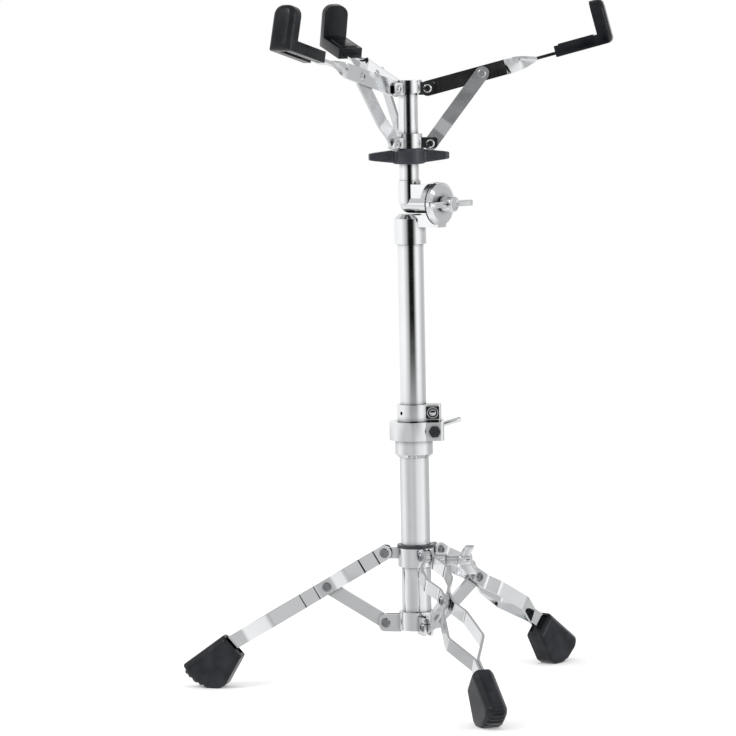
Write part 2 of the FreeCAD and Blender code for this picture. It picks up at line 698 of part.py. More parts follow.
def build_struts():
    place = Placement(Vector(mm.tripod_pivot_radius, 0, mm.hub_pivot_height), Rotation(Y_AXIS, -leg_slope))
    far = place.multVec(Vector(mm.leg_link, 0, 0))
    half = Vector(0, mm.strut_thickness / 2, 0)
    corner = Vector(0, -mm.strut_thickness / 2, -mm.strut_width / 2)
    bar = box("strut_bar", "leg_link", "strut_thickness", "strut_width", corner, place)
    ends = [cylinder("strut_end_%d" % number, "strut_width / 2", "strut_thickness", centre - half, Y_AXIS)
            for number, centre in enumerate((place.Base, far), start=1)]
    holes = [drill("strut_hole_%d" % number, "rivet_diameter / 2 + running_clearance", centre, Y_AXIS,
                   mm.strut_thickness)
             for number, centre in enumerate((place.Base, far), start=1)]
    keep_copies(cut("strut", join("strut_solid", [bar] + ends), holes), "strut_%d", mm.leg_azimuth)
    core = cylinder("strut_rivet", "rivet_diameter / 2", "strut_thickness", far - half, Y_AXIS)
    keep_copies(core, "strut_%d_rivet", mm.leg_azimuth)


# Column

def build_height_clamp():
    bottom = mm.clamp_cup_bottom
    ring_bottom = mm.clamp_ring_bottom
    cup = cylinder("clamp_cup", "clamp_cup_diameter / 2",
                   "clamp_ring_bottom - clamp_cup_bottom - clamp_cup_chamfer + clamp_ring_height / 2",
                   Vector(0, 0, bottom + mm.clamp_cup_chamfer))
    lip = cone("clamp_lip", "clamp_cup_diameter / 2 - clamp_cup_chamfer", "clamp_cup_diameter / 2",
               "clamp_cup_chamfer", Vector(0, 0, bottom))
    ring = cylinder("clamp_ring", "clamp_ring_diameter / 2", "clamp_ring_height", Vector(0, 0, ring_bottom))
    half = mm.clamp_ear_width / 2
    ear_points = [Vector(0, -half, 0), Vector(mm.clamp_ear_reach, -half, 0),
                  Vector(mm.clamp_ear_reach, half, 0), Vector(0, half, 0)]
    ear_radii = [0, mm.clamp_ear_corner, mm.clamp_ear_corner, 0]
    ear_place = Placement(Vector(0, 0, clamp_bolt_height), Rotation())
    ear = plate("clamp_ear", ear_points, ear_radii, "clamp_ring_height", ear_place)
    bolt_centre = Vector(mm.clamp_bolt_offset, 0, clamp_bolt_height)
    seat = cylinder("clamp_seat", "base_tube_diameter / 2 + seat_clearance",
                    "base_tube_top - clamp_cup_bottom + cut_overrun", Vector(0, 0, bottom - mm.cut_overrun))
    throat = drill("clamp_throat", "base_tube_diameter / 2 - base_tube_wall",
                   Vector(0, 0, ring_bottom), Z_AXIS, mm.clamp_ring_height)
    pocket = cylinder("clamp_pocket",
                      "mid_tube_diameter / 2 + clamp_bushing_wall + running_clearance + seat_clearance",
                      "clamp_ring_height + cut_overrun", Vector(0, 0, ring_bottom))
    slit = box("clamp_slit_cut", "clamp_ear_reach + cut_overrun", "clamp_slit",
               "clamp_ring_height + cut_overrun", Vector(0, -mm.clamp_slit / 2, ring_bottom))
    bolt_hole = drill("clamp_bolt_hole", "clamp_bolt_diameter / 2 + seat_clearance", bolt_centre, Y_AXIS,
                      mm.clamp_ear_width)
    body = join("clamp_solid", [cup, lip, ring, ear])
    keep(cut("height_clamp", body, [seat, throat, pocket, slit, bolt_hole]), "height_clamp")
    keep(tube("clamp_bushing", "mid_tube_diameter / 2 + clamp_bushing_wall + running_clearance",
              "mid_tube_diameter / 2 + running_clearance", ring_bottom, mm.clamp_ring_height),
         "clamp_bushing")
    build_clamp_bolt(bolt_centre, half)


def hexagon(name, diameter, height, base, axis):
    """Six-sided head or nut, its diameter measured across the corners."""
    solid = bind(doc.addObject("Part::Prism", name), Circumradius=diameter + " / 2", Height=height)
    solid.Polygon = NUT_SIDES
    solid.Placement = Placement(base, Rotation(Z_AXIS, axis))
    return solid


def build_clamp_bolt(centre, half):
    front = centre - Y_AXIS * half
    nut_start = centre + Y_AXIS * (half + mm.side_gap)
    # the wing passes behind the ring, which is deeper than the ear
    wing_start = centre + Y_AXIS * (mm.clamp_ring_diameter / 2 + mm.clamp_wing_gap)
    shank = cylinder("clamp_shank", "clamp_bolt_diameter / 2",
                     "clamp_ear_width + side_gap + clamp_nut_length", front, Y_AXIS)
    head = hexagon("clamp_head", "clamp_bolt_head_diameter", "clamp_bolt_head_height", front, -Y_AXIS)
    keep(join("clamp_bolt", [shank, head]), "clamp_bolt")
    hub = cylinder("clamp_nut_hub", "clamp_nut_diameter / 2", "clamp_nut_length", nut_start, Y_AXIS)
    place = Placement(wing_start, Rotation(Y_AXIS, -mm.clamp_wing_angle))
    wing = wing_plate("clamp_nut_wing", mm.clamp_wing_span, mm.clamp_wing_depth, "clamp_wing_thickness",
                      place)
    bore = drill("clamp_nut_bore", "clamp_bolt_diameter / 2 + running_clearance", wing_start, Y_AXIS,
                 2 * (mm.clamp_nut_length + mm.clamp_wing_depth))
    keep(cut("clamp_wing_nut", join("clamp_nut_solid", [hub, wing]), [bore]), "clamp_wing_nut")


def build_mid_tube():
    keep(tube("mid_tube", "mid_tube_diameter / 2", "mid_tube_diameter / 2 - mid_tube_wall",
              mm.mid_tube_bottom, mm.mid_tube_top - mm.mid_tube_bottom), "mid_tube")


def build_memory_lock():
    bottom = memory_lock_bottom
    middle = bottom + mm.memory_lock_height / 2
    half = mm.memory_ear_width / 2
    ring = cylinder("memory_ring", "mid_tube_diameter / 2 + memory_lock_wall", "memory_lock_height",
                    Vector(0, 0, bottom))
    points = [Vector(0, -half, 0), Vector(mm.memory_ear_reach, -half, 0),
              Vector(mm.memory_ear_reach, half, 0), Vector(0, half, 0)]
    radii = [0, mm.memory_ear_corner, mm.memory_ear_corner, 0]
    ear_place = Placement(Vector(0, 0, middle), Rotation())
    ear = plate("memory_ear", points, radii, "memory_lock_height", ear_place)
    screw_centre = Vector(mm.memory_screw_offset, 0, memory_screw_height)
    hole_axis = turned(mm.memory_hole_azimuth, X_AXIS)
    pocket_start = mm.memory_screw_offset - mm.memory_screw_head_diameter / 2 - mm.side_gap
    tools = [
        drill("memory_bore", "mid_tube_diameter / 2 + seat_clearance", Vector(0, 0, middle), Z_AXIS,
              mm.memory_lock_height),
        box("memory_slit", "memory_ear_reach + cut_overrun", "clamp_slit",
            "memory_lock_height + 2 * cut_overrun",
            Vector(0, -mm.clamp_slit / 2, bottom - mm.cut_overrun)),
        drill("memory_screw_hole", "memory_screw_diameter / 2 + 2 * seat_clearance", screw_centre, Y_AXIS,
              mm.memory_ear_width),
        box("memory_pocket", str_length(mm.memory_ear_reach - mm.memory_pocket_frame - pocket_start),
            "memory_pocket_depth + cut_overrun", "memory_lock_height - 2 * memory_pocket_frame",
            Vector(pocket_start, -half - mm.cut_overrun, bottom + mm.memory_pocket_frame)),
        cylinder("memory_hole", "memory_hole_diameter / 2", "mid_tube_diameter",
                 Vector(0, 0, memory_screw_height), hole_axis),
    ]
    keep(cut("memory_lock", join("memory_solid", [ring, ear]), tools), "memory_lock")
    front = screw_centre - Y_AXIS * (half - mm.memory_pocket_depth)
    back = screw_centre + Y_AXIS * half
    shank = cylinder("memory_shank", "memory_screw_diameter / 2",
                     "memory_ear_width - memory_pocket_depth + memory_nut_height", front, Y_AXIS)
    head = cylinder("memory_head", "memory_screw_head_diameter / 2", "memory_screw_head_height", front,
                    -Y_AXIS)
    recess = cylinder("memory_recess", "memory_screw_recess_diameter / 2", "memory_screw_head_height / 2",
                      front - Y_AXIS * mm.memory_screw_head_height, Y_AXIS)
    nut = hexagon("memory_nut", "memory_nut_diameter", "memory_nut_height", back, Y_AXIS)
    screw = cut("memory_lock_screw", join("memory_screw_solid", [shank, head, nut]), [recess])
    keep(screw, "memory_lock_screw")


def tilt_place():
    """Frame of the tilter: X along the tilt axis, Z up, origin where it meets the column."""
    return Placement(Vector(0, 0, mm.tilt_height), Rotation(Z_AXIS, mm.tilt_azimuth))


def build_tilter_lower():
    place = tilt_place()
    axis = turned(mm.tilt_azimuth, X_AXIS)
    hinge = place.Base
    socket = cylinder("lower_socket", "mid_tube_diameter / 2 + lower_socket_wall",
                      "lower_socket_top - lower_socket_bottom", Vector(0, 0, mm.lower_socket_bottom))
    crown = cone("lower_crown", "mid_tube_diameter / 2 + lower_socket_wall", "lower_cone_top_diameter / 2",
                 "lower_cone_height", Vector(0, 0, mm.lower_socket_top))
    arm_corner = Vector(0, -mm.lower_arm_width / 2, -mm.lower_arm_drop - mm.lower_arm_height)
    arm = box("lower_arm", str_length(lower_disc_start + mm.lower_disc_thickness), "lower_arm_width",
              "lower_arm_height", arm_corner, place)
    disc = cylinder("lower_disc", "tilt_disc_diameter / 2", "lower_disc_thickness",
                    hinge + axis * lower_disc_start, axis)
    dome = cone("lower_dome", "tilt_disc_diameter / 2", "lower_disc_dome_diameter / 2",
                "lower_disc_dome_height", hinge + axis * (lower_disc_start + mm.lower_disc_thickness), axis)
    tools = [
        cylinder("lower_bore", "mid_tube_diameter / 2 + seat_clearance",
                 "mid_tube_top - lower_socket_bottom + cut_overrun",
                 Vector(0, 0, mm.lower_socket_bottom - mm.cut_overrun)),
        cylinder("lower_disc_hole", "tilt_bolt_diameter / 2 + running_clearance", "2 * tilt_disc_diameter",
                 hinge + axis * mm.upper_disc_start, axis),
    ]
    solid = join("tilter_lower_solid", [socket, crown, arm, disc, dome])
    keep(cut("tilter_lower", solid, tools), "tilter_lower")


def build_tilter_upper():
    place = tilt_place()
    axis = turned(mm.tilt_azimuth, X_AXIS)
    hinge = place.Base
    disc_end = mm.upper_disc_start + mm.upper_disc_thickness
    socket = cylinder("upper_socket", "rod_diameter / 2 + upper_socket_wall", "upper_socket_height", hinge)
    ball = bind(doc.addObject("Part::Sphere", "upper_ball"), Radius="upper_boss_diameter / 2")
    ball.Placement = Placement(hinge, Rotation())
    boss = cylinder("upper_boss", "upper_boss_diameter / 2", str_length(disc_end), hinge, axis)
    web = box("upper_web", "upper_disc_start", "upper_web_width", "upper_web_height",
              Vector(0, -mm.upper_web_width / 2, 0), place)
    wheel = cylinder("upper_wheel", "tilt_disc_diameter / 2", "upper_disc_thickness",
                     hinge + axis * mm.upper_disc_start, axis)
    keep_corner = Vector(mm.upper_disc_start - mm.cut_overrun, -mm.tilt_disc_diameter, mm.upper_disc_rise)
    keep_box = box("upper_sector", "upper_disc_thickness + 2 * cut_overrun", "2 * tilt_disc_diameter",
                   "tilt_disc_diameter", keep_corner, place)
    sector = common("upper_disc", wheel, keep_box)
    tools = [
        cylinder("upper_rod_bore", "rod_diameter / 2 + seat_clearance", "upper_socket_height + cut_overrun",
                 Vector(0, 0, mm.rod_bottom)),
        cylinder("upper_bolt_hole", "tilt_bolt_diameter / 2 + running_clearance", "2 * tilt_disc_diameter",
                 hinge + axis * (mm.tilt_bolt_start - mm.side_gap), axis),
    ]
    solid = join("tilter_upper_solid", [socket, ball, boss, web, sector])
    keep(cut("tilter_upper", solid, tools), "tilter_upper")


def build_tilt_bolt():
    axis = turned(mm.tilt_azimuth, X_AXIS)
    hinge = Vector(0, 0, mm.tilt_height)
    shank = cylinder("tilt_shank", "tilt_bolt_diameter / 2", str_length(tilt_hub_start - mm.tilt_bolt_start),
                     hinge + axis * mm.tilt_bolt_start, axis)
    hub = cylinder("tilt_hub", "tilt_hub_diameter / 2", "tilt_hub_length", hinge + axis * tilt_hub_start,
                   axis)
    across = Z_AXIS.cross(axis)
    turn = Rotation(across, axis, across.cross(axis), "XYZ")
    wing = wing_plate("tilt_wing", mm.tilt_wing_span, mm.tilt_wing_depth, "tilt_wing_thickness",
                      Placement(hinge + axis * tilt_hub_start, turn))
    keep(join("tilt_bolt", [shank, hub, wing]), "tilt_bolt")


# Basket

def arm_angles():
    return [mm.arm_azimuth + number * FULL_TURN / COUNT for number in range(COUNT)]


def build_rod():
    rod = cylinder("basket_rod", "rod_diameter / 2", "rod_top - rod_bottom", Vector(0, 0, mm.rod_bottom))
    keep(rod, "basket_rod")


def build_basket_hub(label, bottom, height, pivot, ear_bottom, ear_height, ear_reach, bar, bore, slot_start):
    """Ring on the rod with three clevis ears and the pins in them."""
    ring = cylinder(label + "_ring", "rod_diameter / 2 + basket_ring_wall", str_length(height),
                    Vector(0, 0, bottom))
    root = mm.rod_diameter / 2 + mm.basket_ring_wall / 3
    points = lug_points(root, pivot.x + ear_reach, ear_bottom, ear_bottom + ear_height)
    radii = [0, mm.basket_ear_corner, mm.basket_ear_corner, 0]
    slot_width = bar + 2 * mm.side_gap
    grip = slot_width + 2 * mm.upper_ear_thickness
    solids = [ring]
    tools = [drill(label + "_bore", bore, Vector(0, 0, bottom + height / 2), Z_AXIS, height)]
    pins = []
    for number, angle in enumerate(arm_angles(), start=1):
        name = label + "_ear_%d" % number
        solids.append(plate(name, points, radii, str_length(grip), upright(angle)))
        corner = Vector(slot_start, -slot_width / 2, pivot.z - mm.arm_width)
        tools.append(box(name + "_slot", str_length(pivot.x + ear_reach), str_length(slot_width),
                         "2 * arm_width", corner, azimuth_place(angle)))
        centre = turned(angle, pivot)
        across = turned(angle, Y_AXIS)
        tools.append(drill(name + "_hole", "basket_pin_diameter / 2 + seat_clearance", centre, across, grip))
        pins.append(rivet(label + "_pin_%d" % number, centre, across, grip, "basket_pin"))
    keep(cut(label, join(label + "_solid", solids), tools), label)
    keep(group(label + "_pins", pins), label + "_pins")


def build_hubs():
    build_basket_hub("upper_hub", mm.rod_top - mm.upper_ring_height, mm.upper_ring_height, arm_pivot,
                     mm.upper_pivot_height - mm.upper_ear_height / 2, mm.upper_ear_height,
                     mm.upper_ear_reach, mm.arm_thickness, "rod_diameter / 2 + seat_clearance",
                     mm.upper_pivot_radius - mm.arm_width / 2 - mm.side_gap)
    build_basket_hub("basket_hub", mm.lower_ring_bottom, mm.basket_ring_height, stay_pivot,
                     mm.lower_ring_bottom, mm.lower_ear_height, mm.lower_ear_reach, mm.stay_thickness,
                     "rod_diameter / 2 + 2 * running_clearance", mm.rod_diameter / 2 + mm.basket_ring_wall)


def build_basket_nut():
    bottom = nut_top - mm.nut_height
    hub = cylinder("nut_hub", "nut_diameter / 2", "nut_height", Vector(0, 0, bottom))
    half = mm.nut_wing_span / 2
    lift = bottom + NUT_WING_LIFT_SHARE * mm.nut_height
    right = [Vector(across * half, lift + up * mm.nut_wing_height, 0) for across, up in NUT_OUTLINE_SHARES]
    left = [Vector(-point.x, point.y, 0) for point in reversed(right[1:-1])]
    points = right[1:-1] + [right[-1]] + left + [right[0]]
    radii = [mm.nut_wing_round] * (len(right) - 2) + [0] + [mm.nut_wing_round] * len(left) + [0]
    wing = plate("nut_wing", points, radii, "nut_wing_thickness", upright(mm.nut_azimuth))
    bore = drill("nut_bore", "rod_diameter / 2 + 2 * running_clearance",
                 Vector(0, 0, bottom + mm.nut_height / 2), Z_AXIS, mm.nut_height)
    panels = [nut_panel("nut_panel_%s_%s" % (label, face), side * half, lift, depth)
              for label, side in (("right", 1), ("left", -1))
              for face, depth in (("back", -mm.nut_wing_thickness / 2), ("front", mm.nut_wing_thickness / 2))]
    keep(cut("basket_nut", join("nut_solid", [hub, wing]), [bore] + panels), "basket_nut")


def nut_panel(name, half, lift, depth):
    """Tool for the shallow recess in one face of one wing."""
    points = [Vector(across * half, lift + up * mm.nut_wing_height, 0) for across, up in NUT_PANEL_SHARES]
    place = upright(mm.nut_azimuth).multiply(Placement(Vector(0, 0, depth), Rotation()))
    return plate(name, points, [mm.nut_panel_round] * len(points), "2 * nut_panel_depth", place)


def twisted_bar():
    """Quarter-turn twist: a loft through sections of the arm's bar turned step by step."""
    sections = []
    corners = ((-1, -1), (1, -1), (1, 1), (-1, 1))
    for step in range(TWIST_SECTIONS):
        share = step / (TWIST_SECTIONS - 1)
        turn = Rotation(X_AXIS, share * RIGHT_ANGLE)
        along = Vector(mm.twist_start + share * mm.twist_length, 0, 0)
        points = [along + turn.multVec(Vector(0, across * mm.arm_thickness / 2, up * mm.arm_width / 2))
                  for across, up in corners]
        sections.append(Part.makePolygon(points + points[:1]))
    twist = doc.addObject("Part::Feature", "arm_twist")
    twist.Shape = Part.makeLoft(sections, True, False)
    return twist


def arm_place():
    """Frame of the arm at azimuth 0: X along the bar, Y across, Z square to both."""
    return Placement(arm_pivot, Rotation(Y_AXIS, -mm.arm_slope))


def build_arms():
    place = arm_place()
    thick = mm.arm_thickness / 2
    wide = mm.arm_width / 2
    twist_end = mm.twist_start + mm.twist_length
    end = cylinder("arm_end", "arm_width / 2", "arm_thickness", place.multVec(Vector(0, -thick, 0)), Y_AXIS)
    root = box("arm_root", "twist_start", "arm_thickness", "arm_width", Vector(0, -thick, -wide), place)
    twist = twisted_bar()
    twist.Placement = place
    flat = box("arm_flat", "arm_reach - twist_start - twist_length", "arm_width", "arm_thickness",
               Vector(twist_end, -wide, -thick), place)
    upturn = box("arm_upturn_bar", "arm_thickness", "arm_width", "arm_upturn + arm_thickness / 2",
                 Vector(mm.arm_reach - mm.arm_thickness, -wide, -thick), place)
    holes = [drill("arm_hole_%d" % number, "basket_pin_diameter / 2 + running_clearance", centre, Y_AXIS,
                   mm.arm_thickness)
             for number, centre in enumerate((arm_pivot, stay_rivet), start=1)]
    arm = cut("arm", join("arm_solid", [end, root, twist, flat, upturn]), holes)
    keep_copies(arm, "arm_%d", mm.arm_azimuth)
    half = half_rivet("arm_rivet", stay_rivet - Y_AXIS * thick, Y_AXIS, mm.arm_thickness, "basket_pin")
    keep_copies(half, "arm_%d_rivet", mm.arm_azimuth)


def build_hooks():
    """Rubber L over the arm's flat end and upturn."""
    place = arm_place()
    outer = mm.arm_reach + mm.hook_wall
    grip = outer - mm.hook_grip
    corners = [(mm.hook_start, -mm.hook_sole), (outer, -mm.hook_sole), (outer, mm.hook_top),
               (grip, mm.hook_top), (grip, mm.hook_bed), (mm.hook_start, mm.hook_bed)]
    points = [Vector(along, up, 0) for along, up in corners]
    profile_place = place.multiply(Placement(ORIGIN, Rotation(X_AXIS, RIGHT_ANGLE)))
    profile = plate("hook_profile", points, [mm.hook_corner] * len(points), "hook_width", profile_place)
    half = mm.hook_width / 2
    front = [Vector(-half, -mm.hook_sole, 0), Vector(half, -mm.hook_sole, 0), Vector(half, mm.hook_top, 0),
             Vector(-half, mm.hook_top, 0)]
    radii = [mm.hook_corner, mm.hook_corner, mm.hook_top_corner, mm.hook_top_corner]
    # drawn as (across, up) and extruded both ways along the arm
    front_turn = Rotation(Y_AXIS, Z_AXIS, X_AXIS, "XYZ")
    front_place = place.multiply(Placement(ORIGIN, front_turn))
    outline = plate("hook_front", front, radii, "2 * (arm_reach + hook_wall + cut_overrun)", front_place)
    rib_start = mm.hook_start + mm.hook_rib_start
    rib = box("hook_rib", str_length(grip + mm.hook_corner - rib_start), "hook_rib_width",
              "hook_rib_height + hook_corner",
              Vector(rib_start, -mm.hook_rib_width / 2, mm.hook_bed - mm.hook_corner), place)
    gap = mm.seat_clearance
    low = mm.arm_thickness / 2 + gap
    side = mm.arm_width / 2 + gap
    tools = [
        box("hook_slot", str_length(mm.arm_reach + gap - mm.hook_start + mm.cut_overrun),
            "arm_width + 2 * seat_clearance", "arm_thickness + 2 * seat_clearance",
            Vector(mm.hook_start - mm.cut_overrun, -side, -low), place),
        box("hook_upturn_slot", "arm_thickness + 2 * seat_clearance", "arm_width + 2 * seat_clearance",
            str_length(mm.arm_upturn + low + gap),
            Vector(mm.arm_reach - mm.arm_thickness - gap, -side, -low), place),
        box("hook_underside", str_length(mm.arm_reach - mm.hook_lip - mm.hook_start + mm.cut_overrun),
            "arm_width - 2 * hook_lip", "hook_sole + cut_overrun",
            Vector(mm.hook_start - mm.cut_overrun, mm.hook_lip - mm.arm_width / 2,
                   -mm.hook_sole - mm.cut_overrun), place),
    ]
    body = join("hook_solid", [common("hook_body", profile, outline), rib])
    keep_copies(cut("hook", body, tools), "hook_%d", mm.arm_azimuth)


def build_stays():
    place = Placement(stay_pivot, Rotation(Y_AXIS, -stay_slope))
    half = mm.stay_thickness / 2
    path = [Vector(0, 0, 0), Vector(mm.stay_joggle_start, 0, 0),
            Vector(mm.stay_joggle_start + mm.stay_joggle_length, stay_offset, 0),
            Vector(stay_length, stay_offset, 0)]
    points, radii = strip_outline(path, mm.stay_thickness, mm.stay_bend_radius)
    strip = plate("stay_strip", points, radii, "stay_width", place)
    near = stay_pivot - Y_AXIS * half
    far = stay_rivet + Y_AXIS * (stay_offset - half)
    ends = [cylinder("stay_end_%d" % number, "stay_width / 2", "stay_thickness", base, Y_AXIS)
            for number, base in enumerate((near, far), start=1)]
    holes = [drill("stay_hole_%d" % number, "basket_pin_diameter / 2 + running_clearance", centre, Y_AXIS,
                   2 * mm.arm_width)
             for number, centre in enumerate((stay_pivot, stay_rivet), start=1)]
    keep_copies(cut("stay", join("stay_solid", [strip] + ends), holes), "stay_%d", mm.arm_azimuth)
    half_pin = half_rivet("stay_rivet", stay_rivet + Y_AXIS * (stay_offset + half), -Y_AXIS,
                          mm.stay_thickness, "basket_pin")
    keep_copies(half_pin, "stay_%d_rivet", mm.arm_azimuth)


def write_pieces():
    """Checks every object of the document, then writes one STEP file per finished piece."""
    doc.recompute()
    for item in doc.Objects:
        if "Invalid" in item.State or "Error" in item.State:
            raise RuntimeError("%s did not compute" % item.Name)
    os.makedirs("parts", exist_ok=True)
    for node in nodes:
        if node.Shape.isNull() or not node.Shape.isValid():
            raise RuntimeError("%s has no valid shape" % node.Label)
        node.Shape.exportStep("parts/%s.step" % node.Label)


build_base_tube()
build_lower_hub()
build_collar()
build_legs()
build_feet()
build_struts()
build_height_clamp()
build_mid_tube()
build_memory_lock()
build_tilter_lower()
build_tilter_upper()
build_tilt_bolt()
build_rod()
build_hubs()
build_basket_nut()
build_arms()
build_hooks()
build_stays()
write_pieces()
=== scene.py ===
"""Looks of the folding drum stand: plated steel, moulded rubber and plastic, and a white studio.

Metres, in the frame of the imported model: +Z up, the photographed side seen along +Y.
"""
import json
import math
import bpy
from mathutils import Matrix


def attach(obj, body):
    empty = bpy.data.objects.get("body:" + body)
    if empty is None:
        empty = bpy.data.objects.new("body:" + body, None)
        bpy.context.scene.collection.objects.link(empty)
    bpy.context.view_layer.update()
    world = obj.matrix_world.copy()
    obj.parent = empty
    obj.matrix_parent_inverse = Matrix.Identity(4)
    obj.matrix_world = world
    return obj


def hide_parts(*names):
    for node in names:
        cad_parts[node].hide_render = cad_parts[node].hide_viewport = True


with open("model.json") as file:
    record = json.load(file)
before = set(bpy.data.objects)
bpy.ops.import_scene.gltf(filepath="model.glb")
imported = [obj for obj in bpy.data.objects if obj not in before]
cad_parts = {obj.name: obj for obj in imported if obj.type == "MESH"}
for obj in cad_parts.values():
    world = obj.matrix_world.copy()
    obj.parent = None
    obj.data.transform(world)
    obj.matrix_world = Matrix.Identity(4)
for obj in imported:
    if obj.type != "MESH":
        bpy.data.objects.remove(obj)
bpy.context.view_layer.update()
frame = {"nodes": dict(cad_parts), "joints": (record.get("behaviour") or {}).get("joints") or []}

from types import SimpleNamespace

import bmesh
import bpy
from bpy.props import FloatProperty, IntProperty, PointerProperty, StringProperty
from mathutils import Matrix, Vector

bl_info = {
    "name": "Drum stand looks",
    "version": (1, 0, 0),
    "blender": (4, 5, 0),
    "location": "View3D > Sidebar > Stand",
    "description": "Finishes and studio for a folding drum stand",
    "category": "Object",
}

MM = 0.001
IMAGE_SIDE = 736
SENSOR_WIDTH = 36.0

WALL_RADIUS = 2.4
WALL_HEIGHT = 3.0
WALL_SIDES = 96
# Levels of the wall, as (bearing, level), at its foot, at the stand's height and above it.
WALL_STOPS = (
    ((-180, 0.95), (-75, 1.0), (-40, 0.72), (-20, 0.40), (20, 0.40), (45, 0.95), (65, 1.0), (100, 0.56),
     (135, 0.60), (180, 0.95)),
    ((-180, 0.95), (-100, 1.05), (-70, 1.1), (-55, 0.90), (-30, 0.50), (-16, 0.03), (-8, 0.006), (13, 0.006),
     (20, 0.05), (33, 0.55), (46, 1.05), (62, 1.05), (80, 0.80), (100, 0.56), (135, 0.60), (180, 0.95)),
    ((-180, 0.9), (-100, 0.7), (-70, 0.60), (70, 0.60), (100, 0.55), (180, 0.9)),
)
# Heights over which the wall passes from one of these to the next.
WALL_FADES = ((0.02, 0.15), (0.62, 0.70))
FLOOR_STOPS = (
    (-180, 0.90), (-150, 0.72), (-95, 1.0), (-60, 0.62), (-35, 0.52), (0, 0.60), (20, 0.84), (70, 1.0),
    (100, 0.55), (140, 0.55), (180, 0.90),
)
FLOOR_SIDE = 14.0
FLOOR_COLOUR = "#FDFDFD"
FLOOR_GLOW_LIFT = 1.5 * MM
FLOOR_LIFT_LEVEL = 0.17
CEILING_LEVEL = 0.45
# Small card low on the left that lightens the near faces of the left leg.
CARD_PLACE = (-0.21, -0.41, 0.135)
CARD_SIZE = (0.26, 0.17)
CARD_BEARING = math.radians(-12.0)
CARD_LEVEL = 0.62
# Soft boxes as their place and aim, and the side of each.
KEY_BOX = ((-2.2, -1.3, 2.4), (0, 0, 0.35))
RIGHT_BOX = ((2.3, -0.9, 1.0), (0, 0, 0.5))
SOFT_BOX_SIDE = 1.0

# Most values of a noise texture lie in this span.
NOISE_SPAN = (0.3, 0.7)
# Smudges roughen clean plating by this factor, and the plastic has this share of the rubber's grain.
SMUDGE_HAZE = 2.2
PLASTIC_GRAIN_SHARE = 0.6
# Painted shade in the corners of the plating, which darkens its colour where pieces meet: how far it reaches,
# the openness over which it fades, its darkest level and the number of rays that look for a corner.
CORNER_SHADE_REACH = 7.0 * MM
CORNER_SHADE_SPAN = (0.35, 0.90)
CORNER_SHADE_LEVEL = 0.18
CORNER_SHADE_RAYS = 8

# Places and sizes that the modelled pieces share with the solids they stand for.
JOINTS = {joint["name"]: joint for joint in frame["joints"]}
COUNT = 3
FOOT_INNER_RADIUS = 175.95 * MM
FOOT_LENGTH = 60.5 * MM
FOOT_HEIGHT = 52.8 * MM
FOOT_WIDTH = 21.5 * MM
# Foot outline as shares of its length (outward) and height (up), clockwise from the top corner.
# The side that closes it is the mouth.
FOOT_OUTLINE_SHARES = ((0.306, 1.0), (1.0, 0.429), (0.968, 0.268), (0.806, 0.098), (0.597, 0.0), (0.371, 0.0),
                       (0.274, 0.063), (0.0, 0.607))
# Chamfered sides of that outline, with the share of the foot's edge that each one takes.
FOOT_CHAMFER_SHARES = ((0, 1.0), (1, 1.0), (2, 0.8), (3, 0.4), (-1, 0.5))
TREAD_GROOVE_SHARES = ((0.985, 0.335), (0.935, 0.225), (0.866, 0.158), (0.750, 0.072), (0.660, 0.028))
TREAD_GROOVE_RADIUS = 2.1 * MM
MOUTH_FRAME = 3.2 * MM
MOUTH_DEPTH = 2.0 * MM

ARM_SLOPE = math.radians(14.3)
HOOK_START = 128.6 * MM
HOOK_END = 184.85 * MM
HOOK_GRIP = 13.3 * MM
HOOK_WIDTH = 24.8 * MM
HOOK_SOLE = 4.0 * MM
HOOK_BED = 6.8 * MM
HOOK_TOP = 39.5 * MM
HOOK_TOP_CORNER = 10.0 * MM
HOOK_RIB_FRAME = 4.2 * MM
HOOK_RIB_HEIGHT = 1.2 * MM
HOOK_SLOT_WIDTH = 8.0 * MM
HOOK_SLOT_END = 176.1 * MM

TILT_DISC_RADIUS = 20.5 * MM
TILT_SEAM_START = 33.4 * MM
TILT_SEAM_WIDTH = 1.5 * MM
TILT_TEETH = 60
TILT_TOOTH_HEIGHT = 0.2 * MM

# Memory lock's screw: its place, then sizes about it, with Y away from the camera.
MEMORY_SCREW = (18.5 * MM, 0, 274.4 * MM)
POCKET_LOW = (-5.7 * MM, -7.7 * MM, -6.0 * MM)
POCKET_HIGH = (6.4 * MM, -7.3 * MM, 6.0 * MM)
POCKET_CORNER = 1.6 * MM
MEMORY_HEAD_RADIUS = 5.6 * MM
SOCKET_RADII = (3.3 * MM, 4.6 * MM)
SOCKET_FRONT = -10.2 * MM
SOCKET_RING_DEPTH = 0.4 * MM
BOSS_DEPTH = 1.8 * MM
BOSS_ROUND = 0.8 * MM

NUT_BOTTOM = 515.7 * MM
NUT_HEIGHT = 15.0 * MM
NUT_RADIUS = 15.0 * MM
NUT_BORE = 9.62 * MM
NUT_SPAN = 79.5 * MM
NUT_WING_HEIGHT = 13.0 * MM
NUT_WING_THICKNESS = 9.4 * MM
NUT_AZIMUTH = math.radians(12.0)
# Steps of one wing of the nut: share of the half span, then the growth of its height and thickness.
NUT_STEP_SHARES = ((0.45, 0.94, 1.0), (0.86, 0.68, 1.0), (1.0, 0.80, 0.72))
# Sunk panel of a wing as shares of the half span and of the wing's height about its middle.
NUT_PANEL_SHARES = (0.52, 0.87, 0.26)
NUT_PANEL_DEPTH = 0.8 * MM

# Steps of one cast wing: share of the half span, share of its depth, and its growth at that step.
WING_STEP_SHARES = ((0.45, 0.40, 0.82), (0.80, 0.58, 1.05), (0.97, 0.68, 0.80))
WING_ROOT_SHARE = 0.72
HUB_FRAME_SHARE = 0.30
HUB_DISH_SHARE = 0.12

